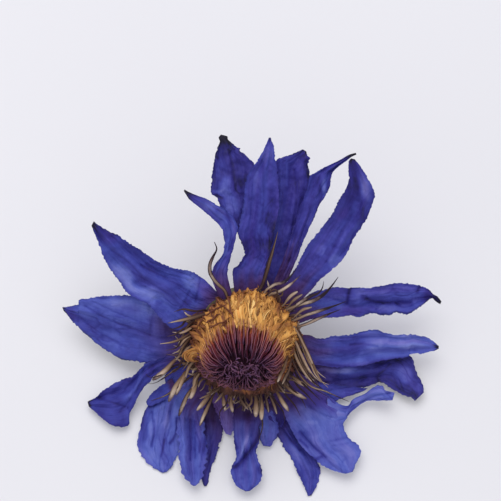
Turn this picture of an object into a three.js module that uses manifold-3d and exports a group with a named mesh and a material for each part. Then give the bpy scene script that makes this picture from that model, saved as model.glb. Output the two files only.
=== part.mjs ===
// A dried blue water lily bloom, known as blue lotus, cut a finger's breadth under the flower.
// It leans forward on the flat cut of its stalk and on the petals that lie on the table.
// Frame, in millimetres: +Z up, the table is Z = 0, +Y points away from the viewer, and the
// origin is the middle of the stalk's cut. The bloom faces -Y and up.
import * as THREE from 'three';
import { mergeVertices } from 'three/addons/utils/BufferGeometryUtils.js';
import Module from 'manifold-3d';

const wasm = await Module();
wasm.setup();

// Driving dimensions. The outlines are laid out as the bloom is seen from SIGHT_ELEVATION.
const degree = Math.PI / 180;
const SIGHT_ELEVATION = 71 * degree;
const LEAN = 38 * degree;
const HUB_HEIGHT = 16;
const RING_RADIUS = 10;
const CLEARANCE = 0.3;
const FINEST_DETAIL = 0.05;

// Petals: blades stacked in layers, on one dished form that runs out onto the table in front.
const PETAL_THICKNESS = 0.8;
const LAYER_PITCH = 1.9;
const ROOT_DEPTH = -6.2;
const BACK_SLOPE = 0.06;
const SIDE_SLOPE = -0.26;
const FRONT_SLOPE = -0.22;
const REST_CLEARANCE = 0.3;
const RIPPLE = { height: 0.35, waves: 2.5 };
const PETAL_CELLS = { along: 14, across: 6 };

// Receptacle and stalk, along the bloom's axis from the plane of the stamen ring.
const SHOULDER = { radius: 9.5, depth: 1.3, rounding: 0.7 };
const OVARY = { radius: 9.8, widest: 5.2, base: 9.2 };
const STALK = { radius: 3.6, start: 14, reach: 30 };
const AIR_CANALS = { count: 5, radius: 0.65, circle: 1.9, depth: 2.5 };

// Stamens: broad outer ones that fan from a collar, and narrow inner ones that arch to a dome.
const COLLAR = { inner: 8.6, outer: 10.4, top: 1, bottom: 1 };
const OUTER_STAMENS = { count: 52, halfWidth: 0.65, halfHeight: 0.5 };
const INNER_STAMENS = { count: 46, halfWidth: 0.45, nod: 10 * degree };
const DOME = { base: 7.8, belly: 9.1, bellyHeight: 4, height: 10.6, hollow: 2.2 };

// The three directions of the view, and the bloom's own axis.
const ACROSS = new THREE.Vector3(1, 0, 0);
const UP = new THREE.Vector3(0, Math.sin(SIGHT_ELEVATION), Math.cos(SIGHT_ELEVATION));
const TOWARDS = new THREE.Vector3(0, -Math.cos(SIGHT_ELEVATION), Math.sin(SIGHT_ELEVATION));
const AXIS = new THREE.Vector3(0, -Math.sin(LEAN), Math.cos(LEAN));
const HUB = AXIS.clone().multiplyScalar(HUB_HEIGHT / Math.cos(LEAN));
const TILT = LEAN - (Math.PI / 2 - SIGHT_ELEVATION);

// The petals and sepals, seen along the view from the hub: across and up, root to tip, in mm.
// layer counts up from the table, lift and curl raise the outer half and the last third,
// cup raises both edges, and the left and right edges ripple out of step.
const BLADES = [
  {
    name: 'sepal_back', colour: 'sepal', layer: 0, lift: 0, curl: -0.5, cup: 0.4,
    left: [[1, 6], [0.6, 18.3], [-0.2, 20.6], [-6.9, 31.4], [-5.1, 42.6], [-3.9, 43.5]],
    right: [
      [3.4, 6], [3.3, 29.5], [2.5, 36.9], [0.6, 39.2], [-0.5, 39.8], [-0.4, 40.4], [-2.5, 41.7],
      [-3.9, 43.5],
    ],
  },
  {
    name: 'sepal_left', colour: 'sepal', layer: 0, lift: 0.5, curl: 1, cup: 0.5,
    left: [
      [-6, -1.6], [-15.3, -5.3], [-17.9, -5.8], [-20.5, -5.7], [-26.6, -4.5], [-29.9, -2.7],
      [-34.6, 1.2], [-39.1, 6.3],
    ],
    right: [
      [-6, 2.2], [-13.5, 5.7], [-22.1, 8.8], [-24.8, 9.3], [-30.2, 9.1], [-35.3, 8.4], [-35.2, 7.5],
      [-39.1, 6.3],
    ],
  },
  {
    name: 'sepal_front', colour: 'sepal', layer: 0, lift: 0, curl: 0, cup: 0.2,
    left: [[-1.6, -5.4], [-4.6, -16.2], [-4.1, -18.8], [-4.8, -21.9], [-7.2, -30.2], [-8.1, -31.6]],
    right: [[-4.4, -5], [-9.7, -16], [-9.7, -27.3], [-9.1, -29.8], [-8.1, -31.6]],
  },
  {
    name: 'sepal_right', colour: 'sepal', layer: 0, lift: 0.5, curl: 1.5, cup: 0.3,
    left: [
      [6, -1.2], [16.1, -3], [32.9, -3.1], [36.2, -4], [37.2, -5.4], [37.7, -7.6], [38.8, -9.7],
      [38.2, -12.9],
    ],
    right: [[6, -4.4], [19.8, -12.1], [22.5, -12.1], [29.6, -9.7], [36, -12.9], [38.2, -12.9]],
  },
  {
    name: 'petal_back_1', colour: 'petal', layer: 2, lift: 2, curl: 2, cup: 0.5,
    left: [
      [-3.6, 6], [-6.7, 12.9], [-6.6, 14.5], [-4.1, 18.9], [-4.2, 22.5], [-4.8, 23.9], [-11, 29.3],
      [-12.4, 31.5],
    ],
    right: [[-1.4, 6.4], [-3.2, 14.3], [-1, 24], [-2.1, 26.1], [-3.5, 27.4], [-6.9, 29.3], [-12.4, 31.5]],
  },
  {
    name: 'petal_back_2', colour: 'petal', layer: 1, lift: 1, curl: 1.5, cup: 0.6,
    left: [[-1.2, 6], [-2.2, 14.1], [0.2, 18.3], [-1.1, 22.3], [0.6, 34], [4.2, 39.6], [5.7, 42.7]],
    right: [[2.6, 6], [7.4, 26.3], [7.6, 29.5], [7.2, 35.7], [6.5, 40.7], [5.7, 42.7]],
  },
  {
    name: 'petal_back_3', colour: 'petal', layer: 0, lift: 0, curl: -1, cup: 0.3,
    left: [[3.8, 6], [4, 15.8], [6.1, 33.7], [6.8, 37.1], [7.3, 38.3], [13.1, 40.2]],
    right: [[5.4, 5], [10.6, 16.8], [14.4, 30.6], [13.7, 37.3], [14.2, 38.5], [13.1, 40.2]],
  },
  {
    name: 'petal_back_4', colour: 'petal', layer: 1, lift: 1.2, curl: 1, cup: 0.4,
    left: [[3.6, 5.6], [8.2, 16.4], [14, 34.5], [21.8, 38.7], [24.1, 39.2]],
    right: [[6, 5], [13.7, 23], [17.8, 31], [18.9, 35.3], [24.1, 39.2]],
  },
  {
    name: 'petal_back_5', colour: 'petal', layer: 2, lift: 2.5, curl: 3, cup: 0.7,
    left: [
      [5, 5], [11.3, 15.7], [13.2, 19.6], [18.7, 26.7], [21, 30.9], [21.9, 32.8], [21.9, 37.3],
      [22.8, 38],
    ],
    right: [[7, 3.4], [16.1, 12.4], [20.9, 16.6], [26.6, 26.7], [27.5, 31], [24.9, 35.6], [22.8, 38]],
  },
  {
    name: 'petal_right_1', colour: 'petal', layer: 0, lift: 3, curl: 0.5, cup: 0.5,
    left: [[6, 3], [14.7, 10], [19.7, 11.1], [37.2, 11.7], [41.8, 8.9], [42.7, 7.3]],
    right: [
      [6.4, 1], [16, 4.3], [23.1, 4.8], [24.7, 4.4], [27.6, 5.4], [35.5, 5], [40.5, 8.6], [42.7, 7.3],
    ],
  },
  {
    name: 'petal_right_2', colour: 'petal', layer: 1, lift: 2, curl: 0.5, cup: 0.5,
    left: [
      [6, 0.4], [13.1, 0.9], [17.3, 0.3], [27.6, 1.9], [33, 0.7], [37.9, 0.7], [40.5, -0.3], [42.4, -2],
    ],
    right: [[6, -2.8], [15.6, -5.7], [22.4, -6.3], [34.8, -4.4], [35.9, -3.5], [40, -3.1], [42.4, -2]],
  },
  {
    name: 'petal_front_1', colour: 'petal', layer: 1, lift: 0, curl: 0.6, cup: 0.3,
    left: [
      [5.4, -3.8], [12.2, -7.4], [21.5, -14.8], [22.4, -17], [21.6, -18.8], [25.2, -24.2], [22.5, -28.6],
    ],
    right: [
      [3.2, -5.2], [5.3, -12.2], [8.1, -15.4], [11.5, -21.7], [13.4, -24.2], [17.2, -27.1],
      [19.3, -28.1], [22.5, -28.6],
    ],
    lobe: {
      lift: 1,
      left: [
        [18, -12.8], [22.1, -14.6], [23.5, -13.3], [29.3, -10.1], [30.1, -10.3], [30.7, -11.1],
        [32.7, -11.7],
      ],
      right: [[18, -19], [21.7, -17.8], [23.2, -15.9], [26.2, -13.8], [32.2, -13.3]],
    },
  },
  {
    name: 'petal_front_2', colour: 'petal', layer: 0, lift: 0, curl: 0, cup: 0.2,
    left: [[3.8, -5], [15.2, -24.4], [16.7, -28.5], [15.6, -31.6], [14.2, -33.7]],
    right: [[1.4, -6], [3.2, -16], [4.7, -17.2], [10.9, -27.3], [14.2, -33.7]],
  },
  {
    name: 'petal_front_3', colour: 'petal', layer: 1, lift: 0.4, curl: 0, cup: 0.3,
    left: [
      [1.6, -5.4], [3.4, -16.1], [4, -17.5], [3.6, -21.7], [2.9, -23.8], [4.1, -28.7], [3.4, -30.6],
      [1, -32.3],
    ],
    right: [[-1, -5.4], [-2.3, -18.6], [-1.5, -24.4], [-2.7, -28.7], [-1.7, -30.8], [1, -32.3]],
  },
  {
    name: 'petal_front_4', colour: 'petal', layer: 1, lift: 0.2, curl: 0.6, cup: 0.3,
    left: [[-3, -5.2], [-8.6, -15.4], [-7.6, -24.8], [-7.9, -27.5], [-8.7, -29.7], [-10.2, -31.2]],
    right: [
      [-5.2, -4.2], [-12.7, -13.7], [-14, -16.5], [-14.4, -25], [-13.6, -27.5], [-12.3, -29.5],
      [-10.2, -31.2],
    ],
  },
  {
    name: 'petal_front_5', colour: 'petal', layer: 0, lift: 0, curl: 0, cup: 0.2,
    left: [[-4.6, -4.6], [-12.3, -13], [-13.2, -21.9], [-14, -25], [-15.1, -27.3], [-16.9, -28.8]],
    right: [
      [-6, -2.8], [-17.9, -10.6], [-19.6, -12.4], [-21.2, -15.6], [-23, -21.9], [-22.6, -24],
      [-20.8, -26.3], [-16.9, -28.8],
    ],
  },
  {
    name: 'petal_left_1', colour: 'petal', layer: 1, lift: -1, curl: 0.5, cup: 0.4,
    left: [
      [-6, -3], [-17.8, -7.4], [-21.7, -11.2], [-24.3, -16.1], [-24.5, -18.6], [-25.6, -19.1],
      [-28.6, -18.6], [-33.6, -14.2],
    ],
    right: [[-6.2, -1.4], [-19.5, -4.6], [-24.4, -8.5], [-26.6, -9.2], [-30.5, -11.5], [-33.6, -14.2]],
  },
  {
    name: 'petal_left_2', colour: 'petal', layer: 1, lift: 3, curl: 1.5, cup: 0.5,
    left: [
      [-6, 1.6], [-15.1, 2.1], [-17.7, 4.2], [-19.8, 6.8], [-24.6, 9.6], [-29.8, 18.1], [-31.8, 24.8],
    ],
    right: [
      [-4, 4.6], [-4.4, 8.8], [-8.6, 13.1], [-10.7, 14.5], [-14.4, 15.2], [-17.6, 16.3], [-25.9, 21.9],
      [-31.8, 24.8],
    ],
  },
];

// Stamens that stand out from the even fan, seen in the same way. rise is the tip's height
// over the petals.
const STRAY_STAMENS = [
  { path: [[-4, 10.4], [-6.3, 13.2], [-7.1, 15], [-6.4, 17.4], [-5.2, 19.2], [-5.9, 20.6]], rise: 3 },
  { path: [[2.4, 10], [4.4, 12.4], [6, 17.4], [7.1, 22.6]], rise: 1.5 },
  { path: [[5.4, 9.6], [8.2, 11.6], [9.9, 12.8], [11.2, 15.2]], rise: 1.2 },
  { path: [[7.6, 7], [12, 8], [16.2, 9.4], [19.8, 13.4]], rise: 2.4 },
  { path: [[8.6, 5.4], [13.6, 8.8], [16.4, 10.4], [17, 12.4]], rise: 1.2 },
  { path: [[9.6, 3], [14.2, 5.2], [18, 7.2], [21.6, 8.2]], rise: 1.6 },
  { path: [[-8.8, 4.6], [-11.4, 5.4], [-14, 4.6], [-16.2, 3.4]], rise: 1.2 },
  { path: [[-9.8, -3], [-12.6, -4.6], [-15.8, -6.8], [-19.2, -8.4]], rise: 1.6 },
  { path: [[10, 1.4], [12.4, -1.6], [14.4, -5.4], [17.4, -8.4]], rise: 1.8 },
  { path: [[10, -0.6], [11.8, -3.8], [14.8, -8], [19, -11.2]], rise: 1.2 },
];

/** A repeatable random number generator, from 0 to 1. */
function seeded(seed) {
  let state = seed;
  return () => {
    state = (state + 0x6d2b79f5) | 0;
    let mixed = Math.imul(state ^ (state >>> 15), 1 | state);
    mixed = (mixed + Math.imul(mixed ^ (mixed >>> 7), 61 | mixed)) ^ mixed;
    return ((mixed ^ (mixed >>> 14)) >>> 0) / 4294967296;
  };
}

/** A closed geometry as a solid for cutting and joining. */
function toSolid(geometry) {
  const bare = new THREE.BufferGeometry();
  bare.setAttribute('position', geometry.getAttribute('position'));
  bare.setIndex(geometry.index);
  const merged = mergeVertices(bare, 1e-4);
  return new wasm.Manifold(
    new wasm.Mesh({
      numProp: 3,
      vertProperties: merged.attributes.position.array,
      triVerts: new Uint32Array(merged.index.array),
    }),
  );
}

/** The largest body of a solid, as a geometry. */
function toGeometry(solid) {
  const bodies = solid.simplify(FINEST_DETAIL).decompose();
  bodies.sort((a, b) => b.volume() - a.volume());
  const mesh = bodies[0].getMesh();
  const geometry = new THREE.BufferGeometry();
  geometry.setAttribute('position', new THREE.BufferAttribute(mesh.vertProperties.slice(), 3));
  geometry.setIndex(new THREE.BufferAttribute(mesh.triVerts.slice(), 1));
  geometry.computeVertexNormals();
  return geometry;
}

/** A geometry from a list of points and the triangles between them. */
function fromTriangles(points, indices) {
  const geometry = new THREE.BufferGeometry().setFromPoints(points);
  geometry.setIndex(indices);
  return geometry;
}

/** A point of the view, across and up from the hub and towards the viewer, in the part's frame. */
function fromView(across, up, towards) {
  return HUB.clone()
    .addScaledVector(ACROSS, across)
    .addScaledVector(UP, up)
    .addScaledVector(TOWARDS, towards);
}

/** A point at a radius and angle round the bloom's axis, at a height over the stamen ring. */
function fromBloom(radius, angle, height) {
  const backward = new THREE.Vector3().crossVectors(AXIS, ACROSS);
  return HUB.clone()
    .addScaledVector(ACROSS, radius * Math.cos(angle))
    .addScaledVector(backward, radius * Math.sin(angle))
    .addScaledVector(AXIS, height);
}

/** How far towards the viewer the lowest petals lie: a reflexed dish that meets the table. */
function dishDepth(across, up) {
  const radius = Math.hypot(across, up);
  const behind = up / Math.max(radius, 1);
  const fullSlope = behind > 0 ? BACK_SLOPE : FRONT_SLOPE;
  const slope = THREE.MathUtils.lerp(SIDE_SLOPE, fullSlope, Math.abs(behind));
  const ringDepth = RING_RADIUS * behind * Math.tan(TILT);
  const hanging = ROOT_DEPTH + ringDepth + slope * Math.max(radius - RING_RADIUS, 0);
  const heightOverTable = HUB_HEIGHT + up * Math.cos(SIGHT_ELEVATION);
  const resting = REST_CLEARANCE - heightOverTable / Math.sin(SIGHT_ELEVATION);
  return resting + Math.log(1 + Math.exp(hanging - resting));
}

/** A smooth curve in the view through a few points. */
function edgeCurve(points) {
  return new THREE.SplineCurve(points.map(([x, y]) => new THREE.Vector2(x, y)));
}

/** The place of a blade's middle surface, at t from root to tip and s from left to right edge. */
function bladePoint(blade, phase, left, right, t, s) {
  const place = left.getPointAt(t).lerp(right.getPointAt(t), s);
  const side = 2 * s - 1;
  const outer = THREE.MathUtils.smoothstep(t, 0.25, 1);
  const ripple = RIPPLE.height * Math.sin(2 * Math.PI * RIPPLE.waves * t + 2 * side + phase);
  const raised =
    blade.lift * outer * outer +
    blade.curl * THREE.MathUtils.smoothstep(t, 0.6, 1) +
    (blade.cup + ripple) * Math.sin(Math.PI * t) * side * side;
  return [place.x, place.y, dishDepth(place.x, place.y) + blade.layer * LAYER_PITCH + raised];
}

/** One petal or sepal as a closed blade between its two edges, both faces split alike. */
function bladeSolid(outline, blade, phase) {
  const { along, across } = PETAL_CELLS;
  const left = edgeCurve(outline.left);
  const right = edgeCurve(outline.right);
  const points = [];
  for (let row = 0; row <= along; row++) {
    for (let column = 0; column <= across; column++) {
      const [x, y, depth] = bladePoint(blade, phase, left, right, row / along, column / across);
      points.push(fromView(x, y, depth + PETAL_THICKNESS / 2));
      points.push(fromView(x, y, depth - PETAL_THICKNESS / 2));
    }
  }
  const upper = (row, column) => 2 * (row * (across + 1) + (row === along ? 0 : column));
  const lower = (row, column) => upper(row, column) + 1;
  const indices = [];
  const addQuad = (a, b, c, d) => {
    if (a !== b) indices.push(a, b, c);
    if (c !== d) indices.push(a, c, d);
  };
  for (let row = 0; row < along; row++) {
    for (let column = 0; column < across; column++) {
      const [a, b] = [[row, column], [row, column + 1]];
      const [c, d] = [[row + 1, column + 1], [row + 1, column]];
      addQuad(upper(...a), upper(...b), upper(...c), upper(...d));
      indices.push(lower(...a), lower(...c), lower(...b));
      if (row < along - 1) indices.push(lower(...a), lower(...d), lower(...c));
    }
    addQuad(upper(row, 0), upper(row + 1, 0), lower(row + 1, 0), lower(row, 0));
    addQuad(lower(row, across), lower(row + 1, across), upper(row + 1, across), upper(row, across));
  }
  for (let column = 0; column < across; column++) {
    addQuad(lower(0, column), lower(0, column + 1), upper(0, column + 1), upper(0, column));
  }
  return toSolid(fromTriangles(points, indices));
}

/** A thin strand along a path, flattened and tapered to a point. */
function strandSolid(path, halfWidth, halfHeight, sides, steps) {
  const curve = new THREE.CatmullRomCurve3(path);
  const points = [];
  const indices = [];
  for (let step = 0; step < steps; step++) {
    const t = step / steps;
    const tangent = curve.getTangentAt(t);
    const outward = new THREE.Vector3().crossVectors(TOWARDS, tangent).normalize();
    const normal = new THREE.Vector3().crossVectors(tangent, outward);
    const taper = 1 - 0.45 * t * t;
    for (let side = 0; side < sides; side++) {
      const angle = (2 * Math.PI * (side + 0.5)) / sides;
      const point = curve.getPointAt(t);
      point.addScaledVector(outward, halfWidth * taper * Math.cos(angle));
      point.addScaledVector(normal, halfHeight * taper * Math.sin(angle));
      points.push(point);
    }
  }
  const tip = points.push(curve.getPointAt(1)) - 1;
  for (let side = 0; side < sides; side++) {
    const next = (side + 1) % sides;
    for (let step = 0; step < steps - 1; step++) {
      const [a, b] = [step * sides + side, step * sides + next];
      indices.push(a, b, b + sides, a, b + sides, a + sides);
    }
    indices.push((steps - 1) * sides + side, (steps - 1) * sides + next, tip);
    if (side > 0 && side < sides - 1) indices.push(0, side + 1, side);
  }
  return toSolid(fromTriangles(points, indices));
}

/** A turned solid round the bloom's axis, from radius and height pairs. */
function turnedSolid(profile, segments) {
  const lathe = new THREE.LatheGeometry(profile.map(([r, y]) => new THREE.Vector2(r, y)), segments);
  const turn = new THREE.Quaternion().setFromUnitVectors(new THREE.Vector3(0, 1, 0), AXIS);
  return toSolid(lathe.applyQuaternion(turn).translate(HUB.x, HUB.y, HUB.z));
}

/** The space under the table, which cuts the stalk and the petals flat where they rest. */
function underTable() {
  const size = 200;
  return toSolid(new THREE.BoxGeometry(size, size, size).translate(0, 0, -size / 2));
}

/** The ovary with its shoulder and the stalk, grown by a margin all round. */
function receptacleSolid(margin = 0) {
  return turnedSolid(
    [
      [0, -STALK.reach],
      [STALK.radius + margin, -STALK.reach],
      [STALK.radius + margin, -STALK.start],
      [STALK.radius + 1 + margin, -STALK.start + 2.2],
      [0.86 * OVARY.radius + margin, -OVARY.base - margin],
      [OVARY.radius + margin, -OVARY.widest],
      [SHOULDER.radius + margin, -SHOULDER.depth - SHOULDER.rounding],
      [SHOULDER.radius - SHOULDER.rounding + margin, -SHOULDER.depth + margin],
      [0, -SHOULDER.depth + margin],
    ],
    28,
  );
}

/** The receptacle, with its stalk cut flat on the table and air canals in the cut. */
function makeReceptacle(table) {
  let body = receptacleSolid().subtract(table);
  for (let index = 0; index < AIR_CANALS.count; index++) {
    const angle = (2 * Math.PI * index) / AIR_CANALS.count;
    const { radius, circle, depth } = AIR_CANALS;
    const canal = new THREE.CylinderGeometry(radius, radius, 2 * depth, 8).rotateX(Math.PI / 2);
    canal.translate(circle * Math.cos(angle), circle * Math.sin(angle), 0);
    body = body.subtract(toSolid(canal));
  }
  return toGeometry(body);
}

/** A petal or sepal, kept clear of the receptacle and pressed flat where it lies on the table. */
function makeBlade(blade, phase, grownReceptacle, table) {
  let body = bladeSolid(blade, blade, phase);
  if (blade.lobe) {
    const flat = { ...blade, lift: blade.lobe.lift, curl: 0, cup: 0 };
    body = body.add(bladeSolid(blade.lobe, flat, phase));
  }
  return toGeometry(body.subtract(grownReceptacle).subtract(table));
}

/** A point of an outer stamen: over the ring's own plane, and clear of the top layer of petals. */
function overPetals(x, y, overRing, overPetal) {
  const petals = dishDepth(x, y) + 2 * LAYER_PITCH + PETAL_THICKNESS / 2;
  const clear = petals + CLEARANCE + OUTER_STAMENS.halfHeight;
  return fromView(x, y, Math.max(y * Math.tan(TILT) + overRing, clear + overPetal));
}

/** The outer stamens: the collar they grow from, their fan and the strays, in one body. */
function makeOuterStamens(random) {
  const { inner, outer, top, bottom } = COLLAR;
  const collar = [
    [inner, -bottom],
    [outer, -bottom],
    [outer, 0.2 * top],
    [outer - 0.7, top],
    [inner, top],
    [inner, -bottom],
  ];
  const middle = (inner + outer) / 2;
  const parts = [turnedSolid(collar, 36)];
  const { count, halfWidth, halfHeight } = OUTER_STAMENS;
  for (let index = 0; index < count; index++) {
    const angle = (2 * Math.PI * (index + 0.7 * random())) / count;
    const reach = 4 + 3.6 * random() + 2 * Math.max(0, -Math.sin(angle));
    const swing = 0.5 * (random() - 0.5);
    const rise = reach * (0.1 + 0.4 * random());
    const path = [0, 0.35, 0.7, 1].map((t) => {
      const radius = middle + (reach + outer - middle) * t;
      const turned = angle + swing * t * t;
      const [x, y] = [radius * Math.cos(turned), radius * Math.sin(turned)];
      if (t === 0) return fromView(x, y, y * Math.tan(TILT));
      return overPetals(x, y, rise * Math.sin(2.2 * t), 0.3);
    });
    parts.push(strandSolid(path, halfWidth, halfHeight, 4, 4));
  }
  for (const stray of STRAY_STAMENS) {
    const [x, y] = stray.path[0];
    const inward = middle / Math.hypot(x, y);
    const path = [fromView(x * inward, y * inward, y * inward * Math.tan(TILT))];
    stray.path.forEach((place, index) => {
      path.push(overPetals(...place, 0.3, (stray.rise * index) / (stray.path.length - 1)));
    });
    parts.push(strandSolid(path, 0.8 * halfWidth, halfHeight, 4, 7));
  }
  return toGeometry(wasm.Manifold.union(parts));
}

/** The inner stamens: a core, and strands that rise round it and arch in over its hollow top. */
function makeInnerStamens(random) {
  const { base, belly, bellyHeight, height, hollow } = DOME;
  const core = [
    [0, -COLLAR.bottom],
    [base, -COLLAR.bottom],
    [base, 1],
    [belly - 0.9, bellyHeight],
    [0.78 * belly, 0.66 * height],
    [0.5 * belly, 0.86 * height],
    [hollow, 0.88 * height],
    [0, 0.78 * height],
  ];
  const parts = [turnedSolid(core, 24)];
  const nod = AXIS.clone().applyAxisAngle(ACROSS, INNER_STAMENS.nod).sub(AXIS);
  for (let index = 0; index < INNER_STAMENS.count; index++) {
    const angle = (2 * Math.PI * (index + 0.6 * random())) / INNER_STAMENS.count;
    const inset = 0.5 * (index % 2);
    const reach = height - 0.8 * random();
    const twist = 0.4 * (random() - 0.5);
    const path = [
      [base - 0.5, 0.2],
      [belly - 0.9, 0.6 * bellyHeight],
      [belly - inset, bellyHeight + 0.8],
      [0.8 * belly - inset, 0.74 * reach],
      [0.5 * belly - inset, 0.96 * reach],
      [hollow - 1.4 * random(), reach],
    ].map(([radius, along], step) => {
      const point = fromBloom(radius, angle + (twist * step) / 5, along);
      return point.addScaledVector(nod, Math.max(along - 2, 0));
    });
    parts.push(strandSolid(path, INNER_STAMENS.halfWidth, INNER_STAMENS.halfWidth, 3, 6));
  }
  return toGeometry(wasm.Manifold.union(parts));
}

const COLOURS = {
  petal: { color: 0x3f3f9c, roughness: 0.7 },
  sepal: { color: 0x4a4a8c, roughness: 0.7 },
  receptacle: { color: 0x5c5536, roughness: 0.85 },
  outerStamen: { color: 0xc08c3c, roughness: 0.65 },
  innerStamen: { color: 0x5a2438, roughness: 0.65 },
};

/** A named mesh in one of the bloom's colours. */
function named(name, geometry, colour) {
  const material = new THREE.MeshStandardMaterial({ metalness: 0, ...COLOURS[colour] });
  const mesh = new THREE.Mesh(geometry, material);
  mesh.name = name;
  return mesh;
}

const bloom = new THREE.Group();
const table = underTable();
const grownReceptacle = receptacleSolid(CLEARANCE);
bloom.add(named('receptacle_and_stalk', makeReceptacle(table), 'receptacle'));
BLADES.forEach((blade, index) => {
  const phase = 2.4 * index;
  bloom.add(named(blade.name, makeBlade(blade, phase, grownReceptacle, table), blade.colour));
});
bloom.add(named('outer_stamens', makeOuterStamens(seeded(17)), 'outerStamen'));
bloom.add(named('inner_stamens', makeInnerStamens(seeded(15)), 'innerStamen'));

export default bloom;
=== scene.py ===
"""A dried blue lotus bloom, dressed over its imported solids.

Lengths in this script are millimetres in the solids' own frame: +Z up, the table is Z = 0 and
the origin is the middle of the stalk's cut. They become metres when a mesh is made.
"""
import logging
import math
from collections.abc import Callable
from dataclasses import dataclass
from enum import Enum

import bpy
import numpy as np
from mathutils import Matrix


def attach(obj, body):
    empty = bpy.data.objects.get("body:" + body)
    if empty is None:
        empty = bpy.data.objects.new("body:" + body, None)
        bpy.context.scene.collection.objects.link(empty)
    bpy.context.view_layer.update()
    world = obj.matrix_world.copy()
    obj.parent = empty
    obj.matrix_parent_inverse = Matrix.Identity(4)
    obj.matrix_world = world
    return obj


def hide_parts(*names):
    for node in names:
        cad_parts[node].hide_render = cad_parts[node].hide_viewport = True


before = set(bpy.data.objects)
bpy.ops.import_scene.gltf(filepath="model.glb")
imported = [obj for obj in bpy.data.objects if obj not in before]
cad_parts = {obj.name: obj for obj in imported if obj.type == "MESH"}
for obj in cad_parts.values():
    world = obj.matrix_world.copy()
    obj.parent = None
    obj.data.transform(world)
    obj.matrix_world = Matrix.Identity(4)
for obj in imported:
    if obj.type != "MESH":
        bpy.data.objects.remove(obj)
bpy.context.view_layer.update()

log = logging.getLogger("bloom")
Array = np.ndarray
Points = tuple[float, ...]
Outline = tuple[tuple[float, float], ...]
Colour = tuple[float, float, float, float]
Stops = tuple[tuple[float, Colour], ...]
Piece = bpy.types.Object
Socket = bpy.types.NodeSocket
NodeTree = bpy.types.NodeTree
Inputs = dict[str | int, object]

MM = 0.001
FULL_TURN = 2.0 * math.pi


class Slot(Enum):
    """The record's material slots."""

    PETAL = "petal"
    SEPAL = "sepal"
    RECEPTACLE = "receptacle"
    OUTER_STAMEN = "outer_stamen"
    INNER_STAMEN = "inner_stamen"


def screen(red: int, green: int, blue: int) -> Colour:
    """A colour given on the screen's 0 to 255 scale, as linear light."""
    scaled = [value / 255.0 for value in (red, green, blue)]
    return tuple(v / 12.92 if v <= 0.04045 else ((v + 0.055) / 1.055) ** 2.4 for v in scaled) + (1.0,)


def stops(*rows: tuple[float, int, int, int]) -> Stops:
    """A row of colours, each given by its place and its red, green and blue on the screen's scale."""
    return tuple((place, screen(*mixed)) for place, *mixed in rows)


def smoothstep(low: float, high: float, value: Array) -> Array:
    """An even ramp from 0 at low to 1 at high, flat at both ends."""
    x = np.clip((value - low) / ((high - low) or 1e-9), 0.0, 1.0)
    return x * x * (3.0 - 2.0 * x)


def bell(value: Array, centre: Array | float, width: float) -> Array:
    """A smooth bump of height 1 at centre: exp of minus the square of the distance in widths."""
    return np.exp(-(((value - centre) / width) ** 2))


def unit(vectors: Array) -> Array:
    """Vectors along the last axis, made one long."""
    return vectors / np.maximum(np.linalg.norm(vectors, axis=-1, keepdims=True), 1e-9)


def even(count: int) -> Array:
    """Even places from 0 to 1."""
    return np.linspace(0.0, 1.0, count)


def turns(columns: int) -> Array:
    """Even turns all the way round, as a row."""
    return np.linspace(0.0, FULL_TURN, columns, endpoint=False)[None, :]


def front_share(angle: Array) -> Array:
    """1 at the front of the bloom, falling to 0 at its sides and behind them."""
    return np.maximum(0.0, -np.sin(angle))


def drift(x: Array, y: Array, seed: int, waves: int = 7) -> Array:
    """Smooth noise from about -1 to 1 that changes over about one unit of x and y.

    It is a sum of cosines, each with its own direction, length and phase.

    Args:
        x: First coordinate, in units of the noise's own scale.
        y: Second coordinate, of a shape that goes with x.
        seed: Picks the directions, lengths and phases.
        waves: How many cosines are added.

    Returns:
        The noise, of the shape of x and y together.
    """
    rng = np.random.default_rng(seed)
    angle = rng.uniform(0.0, FULL_TURN, waves)
    pace = rng.uniform(2.0, 6.5, waves)
    phase = rng.uniform(0.0, FULL_TURN, waves)
    total = np.zeros(np.broadcast_shapes(np.shape(x), np.shape(y)))
    for turn, speed, start in zip(angle, pace, phase):
        total += np.cos(speed * (x * math.cos(turn) + y * math.sin(turn)) + start)
    return total / math.sqrt(2.0 * waves)


def smooth_curves(points: Array, t: Array, samples: int = 160) -> Array:
    """Catmull-Rom curves through points, walked at an even pace.

    Each stretch between two points is a cubic whose slope at a point is half the step between its
    neighbours. The curve is sampled, and places are read off by the length walked.

    Args:
        points: The points, as (curves, count, axes).
        t: Places along each curve, from 0 to 1.
        samples: How many stretches the walk is measured in.

    Returns:
        Points as (curves, len(t), axes).
    """
    count = points.shape[-2]
    place = np.linspace(0.0, count - 1.0, samples + 1)
    index = np.minimum(place.astype(int), count - 2)
    w = (place - index)[:, None]
    p1, p2 = points[:, index, :], points[:, index + 1, :]
    v0 = (p2 - points[:, np.maximum(index - 1, 0), :]) / 2.0
    v1 = (points[:, np.minimum(index + 2, count - 1), :] - p1) / 2.0
    walk = (2 * p1 - 2 * p2 + v0 + v1) * w**3 + (-3 * p1 + 3 * p2 - 2 * v0 - v1) * w**2 + v0 * w + p1
    step = np.linalg.norm(np.diff(walk, axis=1), axis=-1)
    length = np.concatenate([np.zeros((len(points), 1)), np.cumsum(step, axis=1)], axis=1)
    length /= length[:, -1:]
    axes = range(points.shape[-1])
    return np.stack([
        np.stack([np.interp(t, along, one[:, axis]) for axis in axes], axis=-1)
        for along, one in zip(length, walk)
    ])


def smooth_curve(path: Points | Outline, t: Array) -> Array:
    """Places along one smooth curve through a path's points, given as pairs or number after number."""
    return smooth_curves(np.reshape(path, (1, -1, 2)).astype(float), t)[0]


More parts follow.
